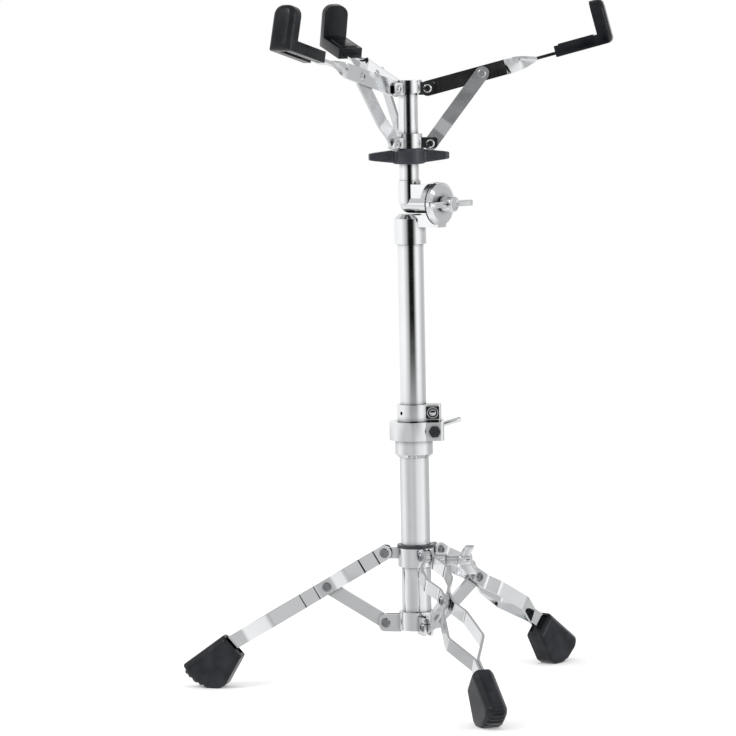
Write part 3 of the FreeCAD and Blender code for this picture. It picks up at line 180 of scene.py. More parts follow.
# How finely the pieces are modelled, and how far a cut runs past what it cuts.
ROD_SIDES = 32
GROOVE_SIDES = 16
SOCKET_SIDES = 48
NUT_HUB_SIDES = 96
NUT_BORE_SIDES = 64
THREAD_SIDES = 6
THREAD_STEPS = 24
EDGE_SEGMENTS = 3
TOP_CORNER_SEGMENTS = 6
BACK_SEGMENTS = 5
POCKET_SEGMENTS = 4
SKIN_SQUARE = 0.8 * MM
RELAX_FACTOR = 0.5
CUT_OVERRUN = 3.0 * MM
# Edges sharper than these are rounded, and faces that meet at less than the last are shaded as one.
HOOK_SHARP = math.radians(50.0)
WING_SHARP = math.radians(40.0)
HUB_SHARP = math.radians(60.0)
BOSS_SHARP = math.radians(60.0)
SHADE_ANGLE = math.radians(32.0)
# Points this close lie on one plane, and a normal with this much along an axis faces that way.
NEAR = 0.01 * MM
FACING = 0.99


def wing_row(node, joint, lean, **sizes):
    """One wing screw: its sizes in millimetres from the start of its head, which lies along the joint's axis.

    The lean is the turn of the wings about the screw from upright, in degrees.
    """
    optional = dict(wing_start=0.0, shank_radius=0.0, shank_start=0.0, thread_start=0.0)
    lengths = {name: size * MM for name, size in {**optional, **sizes}.items()}
    return SimpleNamespace(node=node, joint=joint, lean=math.radians(lean), **lengths)


WING_SCREWS = {
    "lock_wing_screw": wing_row("collar_lock_screw", "lock_screw_turn", 24.0, head=43.3, hub_radius=6.0,
                                hub_length=12.0, span=33.0, depth=17.0, thickness=5.0, shank_radius=4.0,
                                shank_start=-28.6, thread_start=-12.4),
    "clamp_wing": wing_row("clamp_wing_nut", "clamp_nut_turn", 76.0, head=21.1, hub_radius=7.0,
                           hub_length=13.5, span=57.0, depth=12.0, thickness=4.5, wing_start=3.7),
    "tilt_wing_screw": wing_row("tilt_bolt", "tilt_bolt_turn", -90.0, head=40.6, hub_radius=7.4,
                                hub_length=14.0, span=61.0, depth=15.0, thickness=5.8, shank_radius=3.0,
                                shank_start=-26.6),
}


class StandFinishes(bpy.types.PropertyGroup):
    """Colours and gloss of the stand's materials."""

    chrome_colour: StringProperty(name="Chrome", description="Plated steel, sRGB hex", default="#F3F4F5")
    chrome_roughness: FloatProperty(
        name="Chrome roughness", description="Least roughness of the plating", default=0.045, min=0, max=1)
    rubber_colour: StringProperty(name="Rubber", description="Hooks, sRGB hex", default="#0B0D12")
    rubber_dust_colour: StringProperty(
        name="Rubber bloom", description="Pale bloom on handled rubber, sRGB hex", default="#1B1D23")
    foot_colour: StringProperty(name="Foot rubber", description="Feet, sRGB hex", default="#15171C")
    foot_dust_colour: StringProperty(
        name="Foot dust", description="Dust on the feet, sRGB hex", default="#2B2D33")
    plastic_colour: StringProperty(
        name="Plastic", description="Moulded nut and rings, sRGB hex", default="#2A2C31")
    black_steel_colour: StringProperty(
        name="Blackened steel", description="Clamp bolt, sRGB hex", default="#101114")
    grain: FloatProperty(
        name="Mould grain", description="Size of the moulded grain", default=0.9 * MM, unit="LENGTH")


class StandDetails(bpy.types.PropertyGroup):
    """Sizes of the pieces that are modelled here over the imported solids."""

    foot_edge: FloatProperty(
        name="Foot edge", description="Chamfer of a foot's upper edges", default=5.0 * MM, unit="LENGTH")
    foot_rounding: IntProperty(
        name="Foot rounding", description="Passes that relax a foot's skin", default=26, min=1)
    hook_back: FloatProperty(
        name="Hook back", description="Rounding of a hook's outer edges", default=5.6 * MM, unit="LENGTH")
    hook_edge: FloatProperty(
        name="Hook edge", description="Rounding of a hook's other edges", default=1.1 * MM, unit="LENGTH")
    wing_edge: FloatProperty(
        name="Wing edge", description="Rounding of the cast wings", default=1.1 * MM, unit="LENGTH")
    nut_rounding: IntProperty(
        name="Nut rounding", description="Passes that relax the nut's skin", default=10, min=1)
    thread_pitch: FloatProperty(
        name="Thread pitch", description="Rise of a thread in one turn", default=2.0 * MM, unit="LENGTH")
    thread_height: FloatProperty(
        name="Thread height", description="How far a thread stands out", default=0.45 * MM, unit="LENGTH")


class StandStudio(bpy.types.PropertyGroup):
    """Camera and light of the photograph."""

    camera_distance: FloatProperty(
        name="Camera distance", description="From the column to the lens", default=3.77, unit="LENGTH")
    camera_height: FloatProperty(name="Camera height", description="Eye level", default=0.670, unit="LENGTH")
    camera_left: FloatProperty(
        name="Camera offset", description="Left of the column", default=0.0434, unit="LENGTH")
    pixels_per_metre: FloatProperty(
        name="Pixels per metre", description="Image scale at the column", default=1034.0)
    pitch: FloatProperty(
        name="Pitch", description="Camera looks down", default=math.radians(5.33), subtype="ANGLE")
    roll: FloatProperty(
        name="Roll", description="How far the camera leans", default=math.radians(-1.08), subtype="ANGLE")
    fill_light: FloatProperty(name="Fill", description="Strength of the white room", default=0.84, min=0)
    key_power: FloatProperty(name="Key", description="Left soft box in watts", default=30.0, min=0)
    right_power: FloatProperty(name="Right", description="Right soft box in watts", default=22.0, min=0)


CLASSES = [StandFinishes, StandDetails, StandStudio]


def as_class(kind):
    """Adds an operator or panel to the classes that register() takes."""
    CLASSES.append(kind)
    return kind


def linear(hex_colour):
    """sRGB hex colour as linear RGBA."""
    digits = hex_colour.lstrip("#")
    channels = [int(digits[index:index + 2], 16) / 255 for index in (0, 2, 4)]
    return [c / 12.92 if c <= 0.04045 else ((c + 0.055) / 1.055) ** 2.4 for c in channels] + [1.0]


def add_node(owner, kind, settings=None, **inputs):
    """Adds a node to a material or world.

    Inputs are values, or the output sockets to link from, by socket name with _ for a space.
    """
    tree = owner.node_tree
    node = tree.nodes.new(kind)
    for name, value in (settings or {}).items():
        setattr(node, name, value)
    for name, value in inputs.items():
        socket = node.inputs[name.replace("_", " ")]
        if isinstance(value, bpy.types.NodeSocket):
            tree.links.new(value, socket)
        else:
            socket.default_value = value
    return node


def new_material(name):
    """Material with an empty node tree."""
    material = bpy.data.materials.new(name)
    material.use_nodes = True
    material.node_tree.nodes.clear()
    return material


def noise(material, size, detail, stretch=(1, 1, 1)):
    """Noise on Object coordinates whose blotches are about size metres wide."""
    place = add_node(material, "ShaderNodeTexCoord")
    mapping = add_node(material, "ShaderNodeMapping", Vector=place.outputs["Object"], Scale=stretch)
    return add_node(material, "ShaderNodeTexNoise", Vector=mapping.outputs["Vector"], Scale=1 / size,
                    Detail=detail)


def with_corner_shade(material, colour):
    """Darkens a colour where pieces meet: painted shade in the corners, found by ambient occlusion."""
    corner = add_node(material, "ShaderNodeAmbientOcclusion", {"samples": CORNER_SHADE_RAYS}, Distance=CORNER_SHADE_REACH)
    # share of the colour that is kept: least in corners, where the painted shade is darkest
    clean = add_node(material, "ShaderNodeMapRange", Value=corner.outputs["AO"], From_Min=CORNER_SHADE_SPAN[0],
                     From_Max=CORNER_SHADE_SPAN[1], To_Min=CORNER_SHADE_LEVEL, To_Max=1.0)
    corner_shaded = add_node(material, "ShaderNodeVectorMath", {"operation": "SCALE"}, Vector=colour,
                     Scale=clean.outputs["Result"])
    return corner_shaded.outputs[0]


def surface(name, colours, roughness, blotch_mm, blotch_detail=3.0, colour_stops=(0.0, 1.0), grain_mm=0.0,
            grain_detail=3.0, grain_stretch=(1, 1, 1), bump=0.0, relief_mm=0.0, corner_shaded=False, **constants):
    """Material whose blotches drive its colour and roughness, with a fine grain as bump where it has one.

    Pattern sizes are in millimetres, and the constants go to the shader's own sockets.
    """
    material = new_material(name)
    blotches = noise(material, blotch_mm * MM, blotch_detail)
    tint = add_node(material, "ShaderNodeValToRGB", Fac=blotches.outputs[0])
    for element, stop, hex_colour in zip(tint.color_ramp.elements, colour_stops, colours):
        element.position = stop
        element.color = linear(hex_colour)
    haze = add_node(material, "ShaderNodeMapRange", Value=blotches.outputs[0], From_Min=NOISE_SPAN[0],
                    From_Max=NOISE_SPAN[1], To_Min=roughness[0], To_Max=roughness[1])
    colour = tint.outputs["Color"]
    # painted shade: the colour darkens in corners where pieces meet
    if corner_shaded:
        colour = with_corner_shade(material, colour)
    if grain_mm:
        grain = noise(material, grain_mm * MM, grain_detail, grain_stretch)
        relief = add_node(material, "ShaderNodeBump", Strength=bump, Distance=relief_mm * MM,
                          Height=grain.outputs[0])
        constants["Normal"] = relief.outputs["Normal"]
    shader = add_node(material, "ShaderNodeBsdfPrincipled", Base_Color=colour,
                      Roughness=haze.outputs["Result"], **constants)
    add_node(material, "ShaderNodeOutputMaterial", Surface=shader.outputs["BSDF"])
    return material


def plated_chrome():
    """Decorative chrome over polished steel tube and strip: a mirror with faint handling marks."""
    finishes = bpy.context.scene.stand_finishes
    clean = finishes.chrome_roughness
    # buffing lines are far finer in life; drawn at half a millimetre so that they show
    # the plating's colour darkens in its corners: painted shade where pieces meet
    return surface("plated_chrome", colours=("#E7E9EB", finishes.chrome_colour),
                   roughness=(clean, clean * SMUDGE_HAZE), blotch_mm=22.0, grain_mm=0.5,
                   grain_stretch=(1, 1, 0.06), bump=0.02, relief_mm=0.05, corner_shaded=True, Metallic=1.0)


def satin_plating():
    """Plating over strip that was not polished first: a softer, greyer mirror than the tubes."""
    return surface("satin_plating", colours=("#C9CBCE", "#DFE1E3"), roughness=(0.24, 0.32), blotch_mm=16.0,
                   grain_mm=0.6, grain_stretch=(0.15, 0.15, 1), bump=0.03, relief_mm=0.05, Metallic=1.0)


def rubber(name, colours, roughness):
    """Black moulded rubber: half matt, finely grained, with a grey bloom."""
    grain = bpy.context.scene.stand_finishes.grain
    return surface(name, colours, roughness, blotch_mm=14.0, blotch_detail=6.0, colour_stops=(0.42, 0.78),
                   grain_mm=grain / MM, grain_detail=2.0, bump=0.35, relief_mm=0.08, Specular_IOR_Level=0.32)


def moulded_rubber():
    """Rubber of the hooks, which are clean: near black with a soft gloss."""
    finishes = bpy.context.scene.stand_finishes
    return rubber("moulded_rubber", colours=(finishes.rubber_colour, finishes.rubber_dust_colour),
                  roughness=(0.16, 0.28))


def floor_rubber():
    """Rubber of the feet, which pick up dust from the floor: a little greyer."""
    finishes = bpy.context.scene.stand_finishes
    return rubber("floor_rubber", colours=(finishes.foot_colour, finishes.foot_dust_colour),
                  roughness=(0.24, 0.40))


def moulded_plastic():
    """Glass-filled nylon: dark, satin, with the fine grain of a spark-eroded mould."""
    finishes = bpy.context.scene.stand_finishes
    fine_grain = finishes.grain * PLASTIC_GRAIN_SHARE
    return surface("moulded_plastic", colours=(finishes.plastic_colour, "#3C3E46"), roughness=(0.20, 0.30),
                   blotch_mm=18.0, grain_mm=fine_grain / MM, grain_detail=2.0, bump=0.25, relief_mm=0.06,
                   Specular_IOR_Level=0.4)


def blackened_steel():
    """Oil-blackened bolt steel: dark and dry, with rubbed patches."""
    black = bpy.context.scene.stand_finishes.black_steel_colour
    return surface("blackened_steel", colours=(black, "#24262A"), roughness=(0.38, 0.55), blotch_mm=2.5,
                   blotch_detail=5.0)


def rivet_steel():
    """Turned pins and rivets, plated without polish: duller and darker than the straps they hold."""
    return surface("rivet_steel", colours=("#85888D", "#A3A6AA"), roughness=(0.16, 0.24), blotch_mm=1.2,
                   Metallic=1.0)


MATERIALS = {make.__name__: make for make in (plated_chrome, satin_plating, moulded_rubber, floor_rubber,
                                              moulded_plastic, blackened_steel, rivet_steel)}


def material_named(name):
    """The material of that name, made on first use by the function of the same name."""
    return bpy.data.materials.get(name) or MATERIALS[name]()


def dress(material_name, *starts):
    """Gives a material to every CAD node whose name starts with one of the words."""
    dressed = [node for name, node in frame["nodes"].items() if name.startswith(starts)]
    if not dressed:
        raise RuntimeError("no node starts with %s" % (starts,))
    for node in dressed:
        node.data.materials.clear()
        node.data.materials.append(material_named(material_name))


def begin_box(name, low, high):
    """Box between two corners, alone in the selection."""
    bpy.ops.object.select_all(action="DESELECT")
    bpy.ops.mesh.primitive_cube_add(size=1, location=(Vector(low) + Vector(high)) / 2)
    piece = bpy.context.object
    piece.name = name
    piece.scale = Vector(high) - Vector(low)
    bpy.ops.object.transform_apply()
    return piece


def begin_rod(name, radius, start, end, sides=ROD_SIDES):
    """Cylinder along Y from start to end, alone in the selection."""
    bpy.ops.object.select_all(action="DESELECT")
    bpy.ops.mesh.primitive_cylinder_add(vertices=sides, radius=radius, depth=end - start,
                                        location=(0, (start + end) / 2, 0), rotation=(math.pi / 2, 0, 0))
    piece = bpy.context.object
    piece.name = name
    bpy.ops.object.transform_apply()
    return piece


def pick(piece, kind, test):
    """In edit mode, selects the faces or edges that pass the test and nothing else."""
    bpy.ops.mesh.select_mode(type={"faces": "FACE", "edges": "EDGE"}[kind])
    bpy.ops.mesh.select_all(action="DESELECT")
    mesh = bmesh.from_edit_mesh(piece.data)
    mesh.normal_update()
    found = [part for part in getattr(mesh, kind) if test(part)]
    if not found:
        raise RuntimeError("nothing to select on %s" % piece.name)
    for part in found:
        part.select_set(True)
    bmesh.update_edit_mesh(piece.data)


def pick_edges(piece, test):
    """Selects the edges whose two ends both pass the test."""
    pick(piece, "edges", lambda edge: all(test(vertex.co) for vertex in edge.verts))


def close_to(value, aim):
    """Whether two coordinates are the same but for rounding."""
    return abs(value - aim) < NEAR


def slice_through(place, normal, keep_all=True):
    """Cuts the whole edited mesh on a plane, and takes off what lies beyond it unless all is kept."""
    bpy.ops.mesh.select_all(action="SELECT")
    bpy.ops.mesh.bisect(plane_co=place, plane_no=normal, use_fill=not keep_all, clear_outer=not keep_all)


def extrude_by(offset):
    """Extrudes what is selected along an offset."""
    bpy.ops.mesh.extrude_region_move(TRANSFORM_OT_translate={"value": offset})


def select_only(*pieces):
    """Selects the pieces and nothing else, with the first one active."""
    bpy.ops.object.select_all(action="DESELECT")
    for piece in pieces:
        piece.select_set(True)
    bpy.context.view_layer.objects.active = pieces[0]


def apply_modifier(piece, modifier):
    """Works a modifier into the piece's mesh."""
    select_only(piece)
    bpy.ops.object.modifier_apply(modifier=modifier.name)


def combine(piece, tool, operation):
    """Boolean of two pieces that uses the second one up."""
    modifier = piece.modifiers.new(operation, "BOOLEAN")
    modifier.operation = operation
    modifier.solver = "EXACT"
    modifier.object = tool
    apply_modifier(piece, modifier)
    bpy.data.objects.remove(tool)


def soften(piece, width, angle):
    """Bevels every edge sharper than the angle."""
    modifier = piece.modifiers.new("soft_edges", "BEVEL")
    modifier.width = width
    modifier.segments = EDGE_SEGMENTS
    modifier.limit_method = "ANGLE"
    modifier.angle_limit = angle
    apply_modifier(piece, modifier)


def round_off(piece, passes):
    """Skins a piece in small squares and relaxes them, which rounds every edge as in a mould."""
    skin = piece.modifiers.new("skin", "REMESH")
    skin.mode = "VOXEL"
    skin.voxel_size = SKIN_SQUARE
    apply_modifier(piece, skin)
    relax = piece.modifiers.new("relax", "SMOOTH")
    relax.factor = RELAX_FACTOR
    relax.iterations = passes
    apply_modifier(piece, relax)


def smooth(piece):
    """Shades a piece smooth except over its sharp edges."""
    select_only(piece)
    bpy.ops.object.shade_smooth_by_angle(angle=SHADE_ANGLE)


def merge(pieces):
    """Joins pieces into the first one's mesh."""
    if len(pieces) > 1:
        select_only(*pieces)
        bpy.ops.object.join()
    return pieces[0]


def set_in_place(piece, matrix):
    """Puts a piece's place into its mesh."""
    select_only(piece)
    piece.matrix_world = matrix
    bpy.ops.object.transform_apply()


def turn_to(x_axis, y_axis, z_axis):
    """Turn that lays a piece's own axes along three directions."""
    return Matrix((x_axis, y_axis, z_axis)).transposed().to_4x4()


def azimuth_of(joint):
    """Turn about the column of a joint's place."""
    x, y = JOINTS[joint]["pos_m"][:2]
    return Matrix.Rotation(math.atan2(y, x), 4, "Z")


def copies_of(piece, count):
    """The piece and its copies, each with its own mesh."""
    copies = [piece]
    while len(copies) < count:
        other = piece.copy()
        other.data = piece.data.copy()
        bpy.context.collection.objects.link(other)
        copies.append(other)
    return copies


def settle(piece, name, material_name, slot, body, *nodes):
    """Names a finished piece, gives it its finish, and hangs it on its body in the place of its nodes."""
    piece.name = name
    piece.data.name = name
    piece.data.materials.clear()
    piece.data.materials.append(material_named(material_name))
    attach(piece, body)
    if nodes:
        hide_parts(*nodes)


def foot_point(along, up):
    """Point on the foot's middle plane at azimuth 0, from shares of its length and height."""
    return Vector((FOOT_INNER_RADIUS + along * FOOT_LENGTH, 0, up * FOOT_HEIGHT))


def foot_boot(details):
    """Moulded foot at azimuth 0: a rounded boot with chamfered edges, a sunk mouth and tread grooves."""
    half = FOOT_WIDTH / 2
    across = Vector((0, half, 0))
    boot = begin_box("boot", foot_point(0, 0) - across, foot_point(1, 1) + across)
    corners = [foot_point(*shares) for shares in FOOT_OUTLINE_SHARES]
    runs = [following - corner for corner, following in zip(corners, corners[1:] + corners[:1])]
    outward = [Vector((-run.z, 0, run.x)).normalized() for run in runs]
    bpy.ops.object.mode_set(mode="EDIT")
    for corner, normal in zip(corners, outward):
        if normal.z > -FACING:
            slice_through(corner, normal, keep_all=False)
    for number, share in FOOT_CHAMFER_SHARES:
        edge = corners[number] - outward[number] * share * details.foot_edge
        for flank in (-1, 1):
            slice_through(edge + flank * across, outward[number] + Vector((0, flank, 0)), keep_all=False)
    bpy.ops.object.mode_set(mode="OBJECT")
    round_off(boot, details.foot_rounding)
    mouth = begin_box("mouth", (-MOUTH_DEPTH, MOUTH_FRAME - half, MOUTH_FRAME),
                      (CUT_OVERRUN, half - MOUTH_FRAME, runs[-1].length - MOUTH_FRAME))
    rise = runs[-1].normalized()
    set_in_place(mouth, Matrix.Translation(corners[-1]) @ turn_to(outward[-1], rise.cross(outward[-1]), rise))
    tools = [mouth]
    for shares in TREAD_GROOVE_SHARES:
        groove = begin_rod("groove", TREAD_GROOVE_RADIUS, -FOOT_WIDTH, FOOT_WIDTH, sides=GROOVE_SIDES)
        set_in_place(groove, Matrix.Translation(foot_point(*shares)))
        tools.append(groove)
    combine(boot, merge(tools), "DIFFERENCE")
    smooth(boot)
    return boot


def hook_sleeve(details):
    """Moulded hook in the arm's own frame: an L with a round back, a rib on its bed and a slot below."""
    half = HOOK_WIDTH / 2
    wall = HOOK_END - HOOK_GRIP
    sleeve = begin_box("sleeve", (HOOK_START, -half, -HOOK_SOLE), (HOOK_END, half, HOOK_BED))
    bpy.ops.object.mode_set(mode="EDIT")
    slice_through((wall, 0, 0), (1, 0, 0))
    pick(sleeve, "faces", lambda face: face.normal.z > FACING and face.calc_center_median().x > wall)
    extrude_by((0, 0, HOOK_TOP - HOOK_BED))
    for flank in (half, -half):
        pick_edges(sleeve, lambda co: close_to(co.z, HOOK_TOP) and close_to(co.y, flank))
        bpy.ops.mesh.bevel(offset=HOOK_TOP_CORNER, segments=TOP_CORNER_SEGMENTS, affect="EDGES")
    pick_edges(sleeve, lambda co: close_to(co.x, HOOK_END))
    bpy.ops.mesh.bevel(offset=details.hook_back, segments=BACK_SEGMENTS, affect="EDGES")
    pick(sleeve, "faces", lambda face: face.normal.z > FACING
         and close_to(face.calc_center_median().z, HOOK_BED))
    bpy.ops.mesh.inset(thickness=HOOK_RIB_FRAME, depth=0)
    extrude_by((0, 0, HOOK_RIB_HEIGHT))
    bpy.ops.object.mode_set(mode="OBJECT")
    slot = begin_box("slot", (HOOK_START - CUT_OVERRUN, -HOOK_SLOT_WIDTH / 2, -HOOK_SOLE - CUT_OVERRUN),
                     (HOOK_SLOT_END, HOOK_SLOT_WIDTH / 2, 0))
    combine(sleeve, slot, "DIFFERENCE")
    soften(sleeve, details.hook_edge, HOOK_SHARP)
    smooth(sleeve)
    return sleeve


def cast_wing(details, screw):
    """Pair of cast wings: X outward both ways, Y along the screw, swept towards their tips."""
    half = screw.thickness / 2
    root = screw.hub_radius / 2
    wing = begin_box("wing", (-root, 0, -half), (root, WING_ROOT_SHARE * screw.depth, half))
    bpy.ops.object.mode_set(mode="EDIT")
    for side in (-1, 1):
        pick(wing, "faces", lambda face: face.normal.x * side > FACING)
        centre = Vector((side * root, WING_ROOT_SHARE * screw.depth / 2, 0))
        for reach, along, stretch in WING_STEP_SHARES:
            aim = Vector((side * reach * screw.span / 2, along * screw.depth, 0))
            extrude_by(aim - centre)
            bpy.ops.transform.resize(value=(1, stretch, 1), center_override=aim)
            centre = aim
    bpy.ops.object.mode_set(mode="OBJECT")
    soften(wing, details.wing_edge, WING_SHARP)
    set_in_place(wing, Matrix.Translation((0, screw.wing_start, 0)))
    return wing


def screw_thread(details, radius, start, end):
    """Closed coil of one ridge that winds along a shank."""
    bpy.ops.object.select_all(action="DESELECT")
    bpy.ops.mesh.primitive_circle_add(vertices=THREAD_SIDES, radius=details.thread_height,
                                      fill_type="NOTHING", location=(radius, start, 0))
    coil = bpy.context.object
    bpy.ops.object.transform_apply()
    winding = coil.modifiers.new("winding", "SCREW")
    winding.axis = "Y"
    winding.steps = THREAD_STEPS
    winding.render_steps = THREAD_STEPS
    winding.screw_offset = details.thread_pitch
    winding.iterations = int((end - start) / details.thread_pitch)
    apply_modifier(coil, winding)
    bpy.ops.object.mode_set(mode="EDIT")
    bpy.ops.mesh.select_all(action="SELECT")
    bpy.ops.mesh.fill_holes(sides=0)
    bpy.ops.mesh.normals_make_consistent(inside=False)
    bpy.ops.object.mode_set(mode="OBJECT")
    return coil


def wing_screw(details, screw):
    """Cast wing head, with its shank and thread where it has them: Y along the screw, its head from 0."""
    dish = HUB_DISH_SHARE * screw.hub_radius
    hub = begin_rod("hub", screw.hub_radius, 0, screw.hub_length)
    bpy.ops.object.mode_set(mode="EDIT")
    pick(hub, "faces", lambda face: face.normal.y > FACING)
    bpy.ops.mesh.inset(thickness=HUB_FRAME_SHARE * screw.hub_radius, depth=0)
    bpy.ops.mesh.inset(thickness=dish, depth=-dish)
    bpy.ops.object.mode_set(mode="OBJECT")
    soften(hub, details.wing_edge, HUB_SHARP)
    combine(hub, cast_wing(details, screw), "UNION")
    shells = [hub]
    if screw.shank_radius:
        shells.append(begin_rod("shank", screw.shank_radius, screw.shank_start, screw.hub_length / 2))
    if screw.thread_start:
        shells.append(screw_thread(details, screw.shank_radius, screw.thread_start, 0))
    piece = merge(shells)
    smooth(piece)
    return piece


def nut_wings(thick, middle):
    """Two tapered wings in one bar along X; thick is half of their thickness, and middle their height."""
    tall = NUT_WING_HEIGHT / 2
    root = NUT_RADIUS / 2
    wings = begin_box("nut", (-root, -thick, middle - tall), (root, thick, middle + tall))
    bpy.ops.object.mode_set(mode="EDIT")
    for side in (-1, 1):
        pick(wings, "faces", lambda face: face.normal.x * side > FACING)
        reached = root
        for reach, height, thickness in NUT_STEP_SHARES:
            out = reach * NUT_SPAN / 2
            extrude_by((side * (out - reached), 0, 0))
            bpy.ops.transform.resize(value=(1, thickness, height), center_override=(side * out, 0, middle))
            reached = out
    bpy.ops.object.mode_set(mode="OBJECT")
    return wings


def nut_panels(thick, middle):
    """Boxes that sink a panel into both faces of both wings."""
    inner, outer, half_height = NUT_PANEL_SHARES
    tall = half_height * NUT_WING_HEIGHT
    panels = []
    for side in (-1, 1):
        across = sorted((side * inner * NUT_SPAN / 2, side * outer * NUT_SPAN / 2))
        for face in (-1, 1):
            through = sorted((face * (thick - NUT_PANEL_DEPTH), face * (thick + CUT_OVERRUN)))
            panels.append(begin_box("panel", (across[0], through[0], middle - tall),
                                    (across[1], through[1], middle + tall)))
    return panels


def winged_nut(details):
    """Moulded nut about the column: a round hub that flows into two tapered wings with sunk panels."""
    middle = NUT_BOTTOM + NUT_HEIGHT / 2
    thick = NUT_WING_THICKNESS / 2
    nut = nut_wings(thick, middle)
    upright = Matrix.Translation((0, 0, NUT_BOTTOM)) @ Matrix.Rotation(math.pi / 2, 4, "X")
    hub = begin_rod("hub", NUT_RADIUS, 0, NUT_HEIGHT, sides=NUT_HUB_SIDES)
    set_in_place(hub, upright)
    combine(nut, hub, "UNION")
    round_off(nut, details.nut_rounding)
    bore = begin_rod("bore", NUT_BORE, -CUT_OVERRUN, NUT_HEIGHT + CUT_OVERRUN, sides=NUT_BORE_SIDES)
    set_in_place(bore, upright)
    combine(nut, merge([bore] + nut_panels(thick, middle)), "DIFFERENCE")
    smooth(nut)
    set_in_place(nut, Matrix.Rotation(NUT_AZIMUTH, 4, "Z"))
    return nut


@as_class
class STAND_OT_dress_column(bpy.types.Operator):
    """Plates the tubes, the rod, both clamps and the tilter"""

    bl_idname = "stand.dress_column"
    bl_label = "Dress column"

    def execute(self, context):
        dress("plated_chrome", "base_tube", "mid_tube", "basket_rod", "height_clamp", "memory_lock",
              "clamp_wing_nut", "tilter", "tilt_bolt")
        dress("blackened_steel", "clamp_bolt")
        dress("moulded_plastic", "clamp_bushing")
        return {"FINISHED"}


@as_class
class STAND_OT_dress_tripod(bpy.types.Operator):
    """Plates the tripod's hub, collar, straps and struts, and gives the ring its plastic"""

    bl_idname = "stand.dress_tripod"
    bl_label = "Dress tripod"

    def execute(self, context):
        dress("plated_chrome", "lower_hub", "tripod_collar", "collar_lock_screw", "leg_", "strut_")
        dress("moulded_plastic", "collar_ring")
        return {"FINISHED"}


@as_class
class STAND_OT_dress_feet(bpy.types.Operator):
    """Gives the three feet their rubber"""

    bl_idname = "stand.dress_feet"
    bl_label = "Dress feet"

    def execute(self, context):
        dress("floor_rubber", "leg_1_foot", "leg_2_foot", "leg_3_foot")
        return {"FINISHED"}


@as_class
class STAND_OT_dress_basket(bpy.types.Operator):
    """Plates the basket's hubs and arms, its stays in satin, and gives the nut its plastic"""

    bl_idname = "stand.dress_basket"
    bl_label = "Dress basket"

    def execute(self, context):
        dress("plated_chrome", "upper_hub", "basket_hub", "arm_")
        dress("satin_plating", "stay_")
        dress("moulded_plastic", "basket_nut")
        return {"FINISHED"}


@as_class
class STAND_OT_dress_rivets(bpy.types.Operator):
    """Gives the pins and rivets of the tripod their duller plating"""

    bl_idname = "stand.dress_rivets"
    bl_label = "Dress rivets"

    def execute(self, context):
        tripod = [name for name in frame["nodes"] if name.startswith(("leg_", "strut_", "lower_hub"))]
        dress("rivet_steel", *[name for name in tripod if name.endswith(("_pins", "_rivet"))])
        return {"FINISHED"}


@as_class
class STAND_OT_dress_hooks(bpy.types.Operator):
    """Gives the three hooks their rubber"""

    bl_idname = "stand.dress_hooks"
    bl_label = "Dress hooks"

    def execute(self, context):
        dress("moulded_rubber", "hook_")
        return {"FINISHED"}


@as_class
class STAND_OT_model_feet(bpy.types.Operator):
    """Models the three rubber feet over their solids"""

    bl_idname = "stand.model_feet"
    bl_label = "Model feet"

    def execute(self, context):
        boots = copies_of(foot_boot(context.scene.stand_details), COUNT)
        for number, boot in enumerate(boots, start=1):
            set_in_place(boot, azimuth_of("leg_%d_swing" % number))
            settle(boot, "foot_boot_%d" % number, "floor_rubber", "rubber", "leg_%d" % number,
                   "leg_%d_foot" % number)
        return {"FINISHED"}


@as_class
class STAND_OT_model_hooks(bpy.types.Operator):
    """Models the three rubber hooks over their solids"""

    bl_idname = "stand.model_hooks"
    bl_label = "Model hooks"

    def execute(self, context):
        sleeves = copies_of(hook_sleeve(context.scene.stand_details), COUNT)
        for number, sleeve in enumerate(sleeves, start=1):
            joint = "arm_%d_swing" % number
            place = Matrix.Translation(JOINTS[joint]["pos_m"]) @ azimuth_of(joint)
            set_in_place(sleeve, place @ Matrix.Rotation(-ARM_SLOPE, 4, "Y"))
            settle(sleeve, "hook_sleeve_%d" % number, "moulded_rubber", "rubber", "arm_%d" % number,
                   "hook_%d" % number)
        return {"FINISHED"}


@as_class
class STAND_OT_model_tilt_teeth(bpy.types.Operator):
    """Models the toothed seam between the tilter's two discs, in dark steel that paints the shade of the seam
    """

    bl_idname = "stand.model_tilt_teeth"
    bl_label = "Model tilt teeth"

    def execute(self, context):
        seam = begin_rod("seam", TILT_DISC_RADIUS, TILT_SEAM_START, TILT_SEAM_START + TILT_SEAM_WIDTH,
                         sides=2 * TILT_TEETH)
        step = math.pi / TILT_TEETH
        bpy.ops.object.mode_set(mode="EDIT")
        pick(seam, "faces", lambda face: abs(face.normal.y) < FACING
             and math.floor(math.atan2(face.normal.z, face.normal.x) / step) % 2 == 0)
        bpy.ops.mesh.extrude_faces_move(TRANSFORM_OT_shrink_fatten={"value": TILT_TOOTH_HEIGHT})
        bpy.ops.object.mode_set(mode="OBJECT")
        axis = Vector(JOINTS["tilt"]["axis"])
        up = Vector((0, 0, 1))
        set_in_place(seam, Matrix.Translation(JOINTS["tilt"]["pos_m"]) @ turn_to(axis.cross(up), axis, up))
        # the teeth take dark blackened steel: painted shade in the seam between the discs
        settle(seam, "tilt_teeth", "blackened_steel", "black_steel", "mast")
        return {"FINISHED"}


@as_class
class STAND_OT_model_wing_screws(bpy.types.Operator):
    """Models the three cast wing screws over their solids"""

    bl_idname = "stand.model_wing_screws"
    bl_label = "Model wing screws"

    def execute(self, context):
        for name, screw in WING_SCREWS.items():
            piece = wing_screw(context.scene.stand_details, screw)
            joint = JOINTS[screw.joint]
            axis = Vector(joint["axis"]).normalized()
            across = Matrix.Rotation(screw.lean, 3, axis) @ Vector((0, 0, 1))
            place = Matrix.Translation(Vector(joint["pos_m"]) + axis * screw.head)
            set_in_place(piece, place @ turn_to(across, axis, across.cross(axis)))
            settle(piece, name, "plated_chrome", "chrome", joint["child"], screw.node)
        return {"FINISHED"}


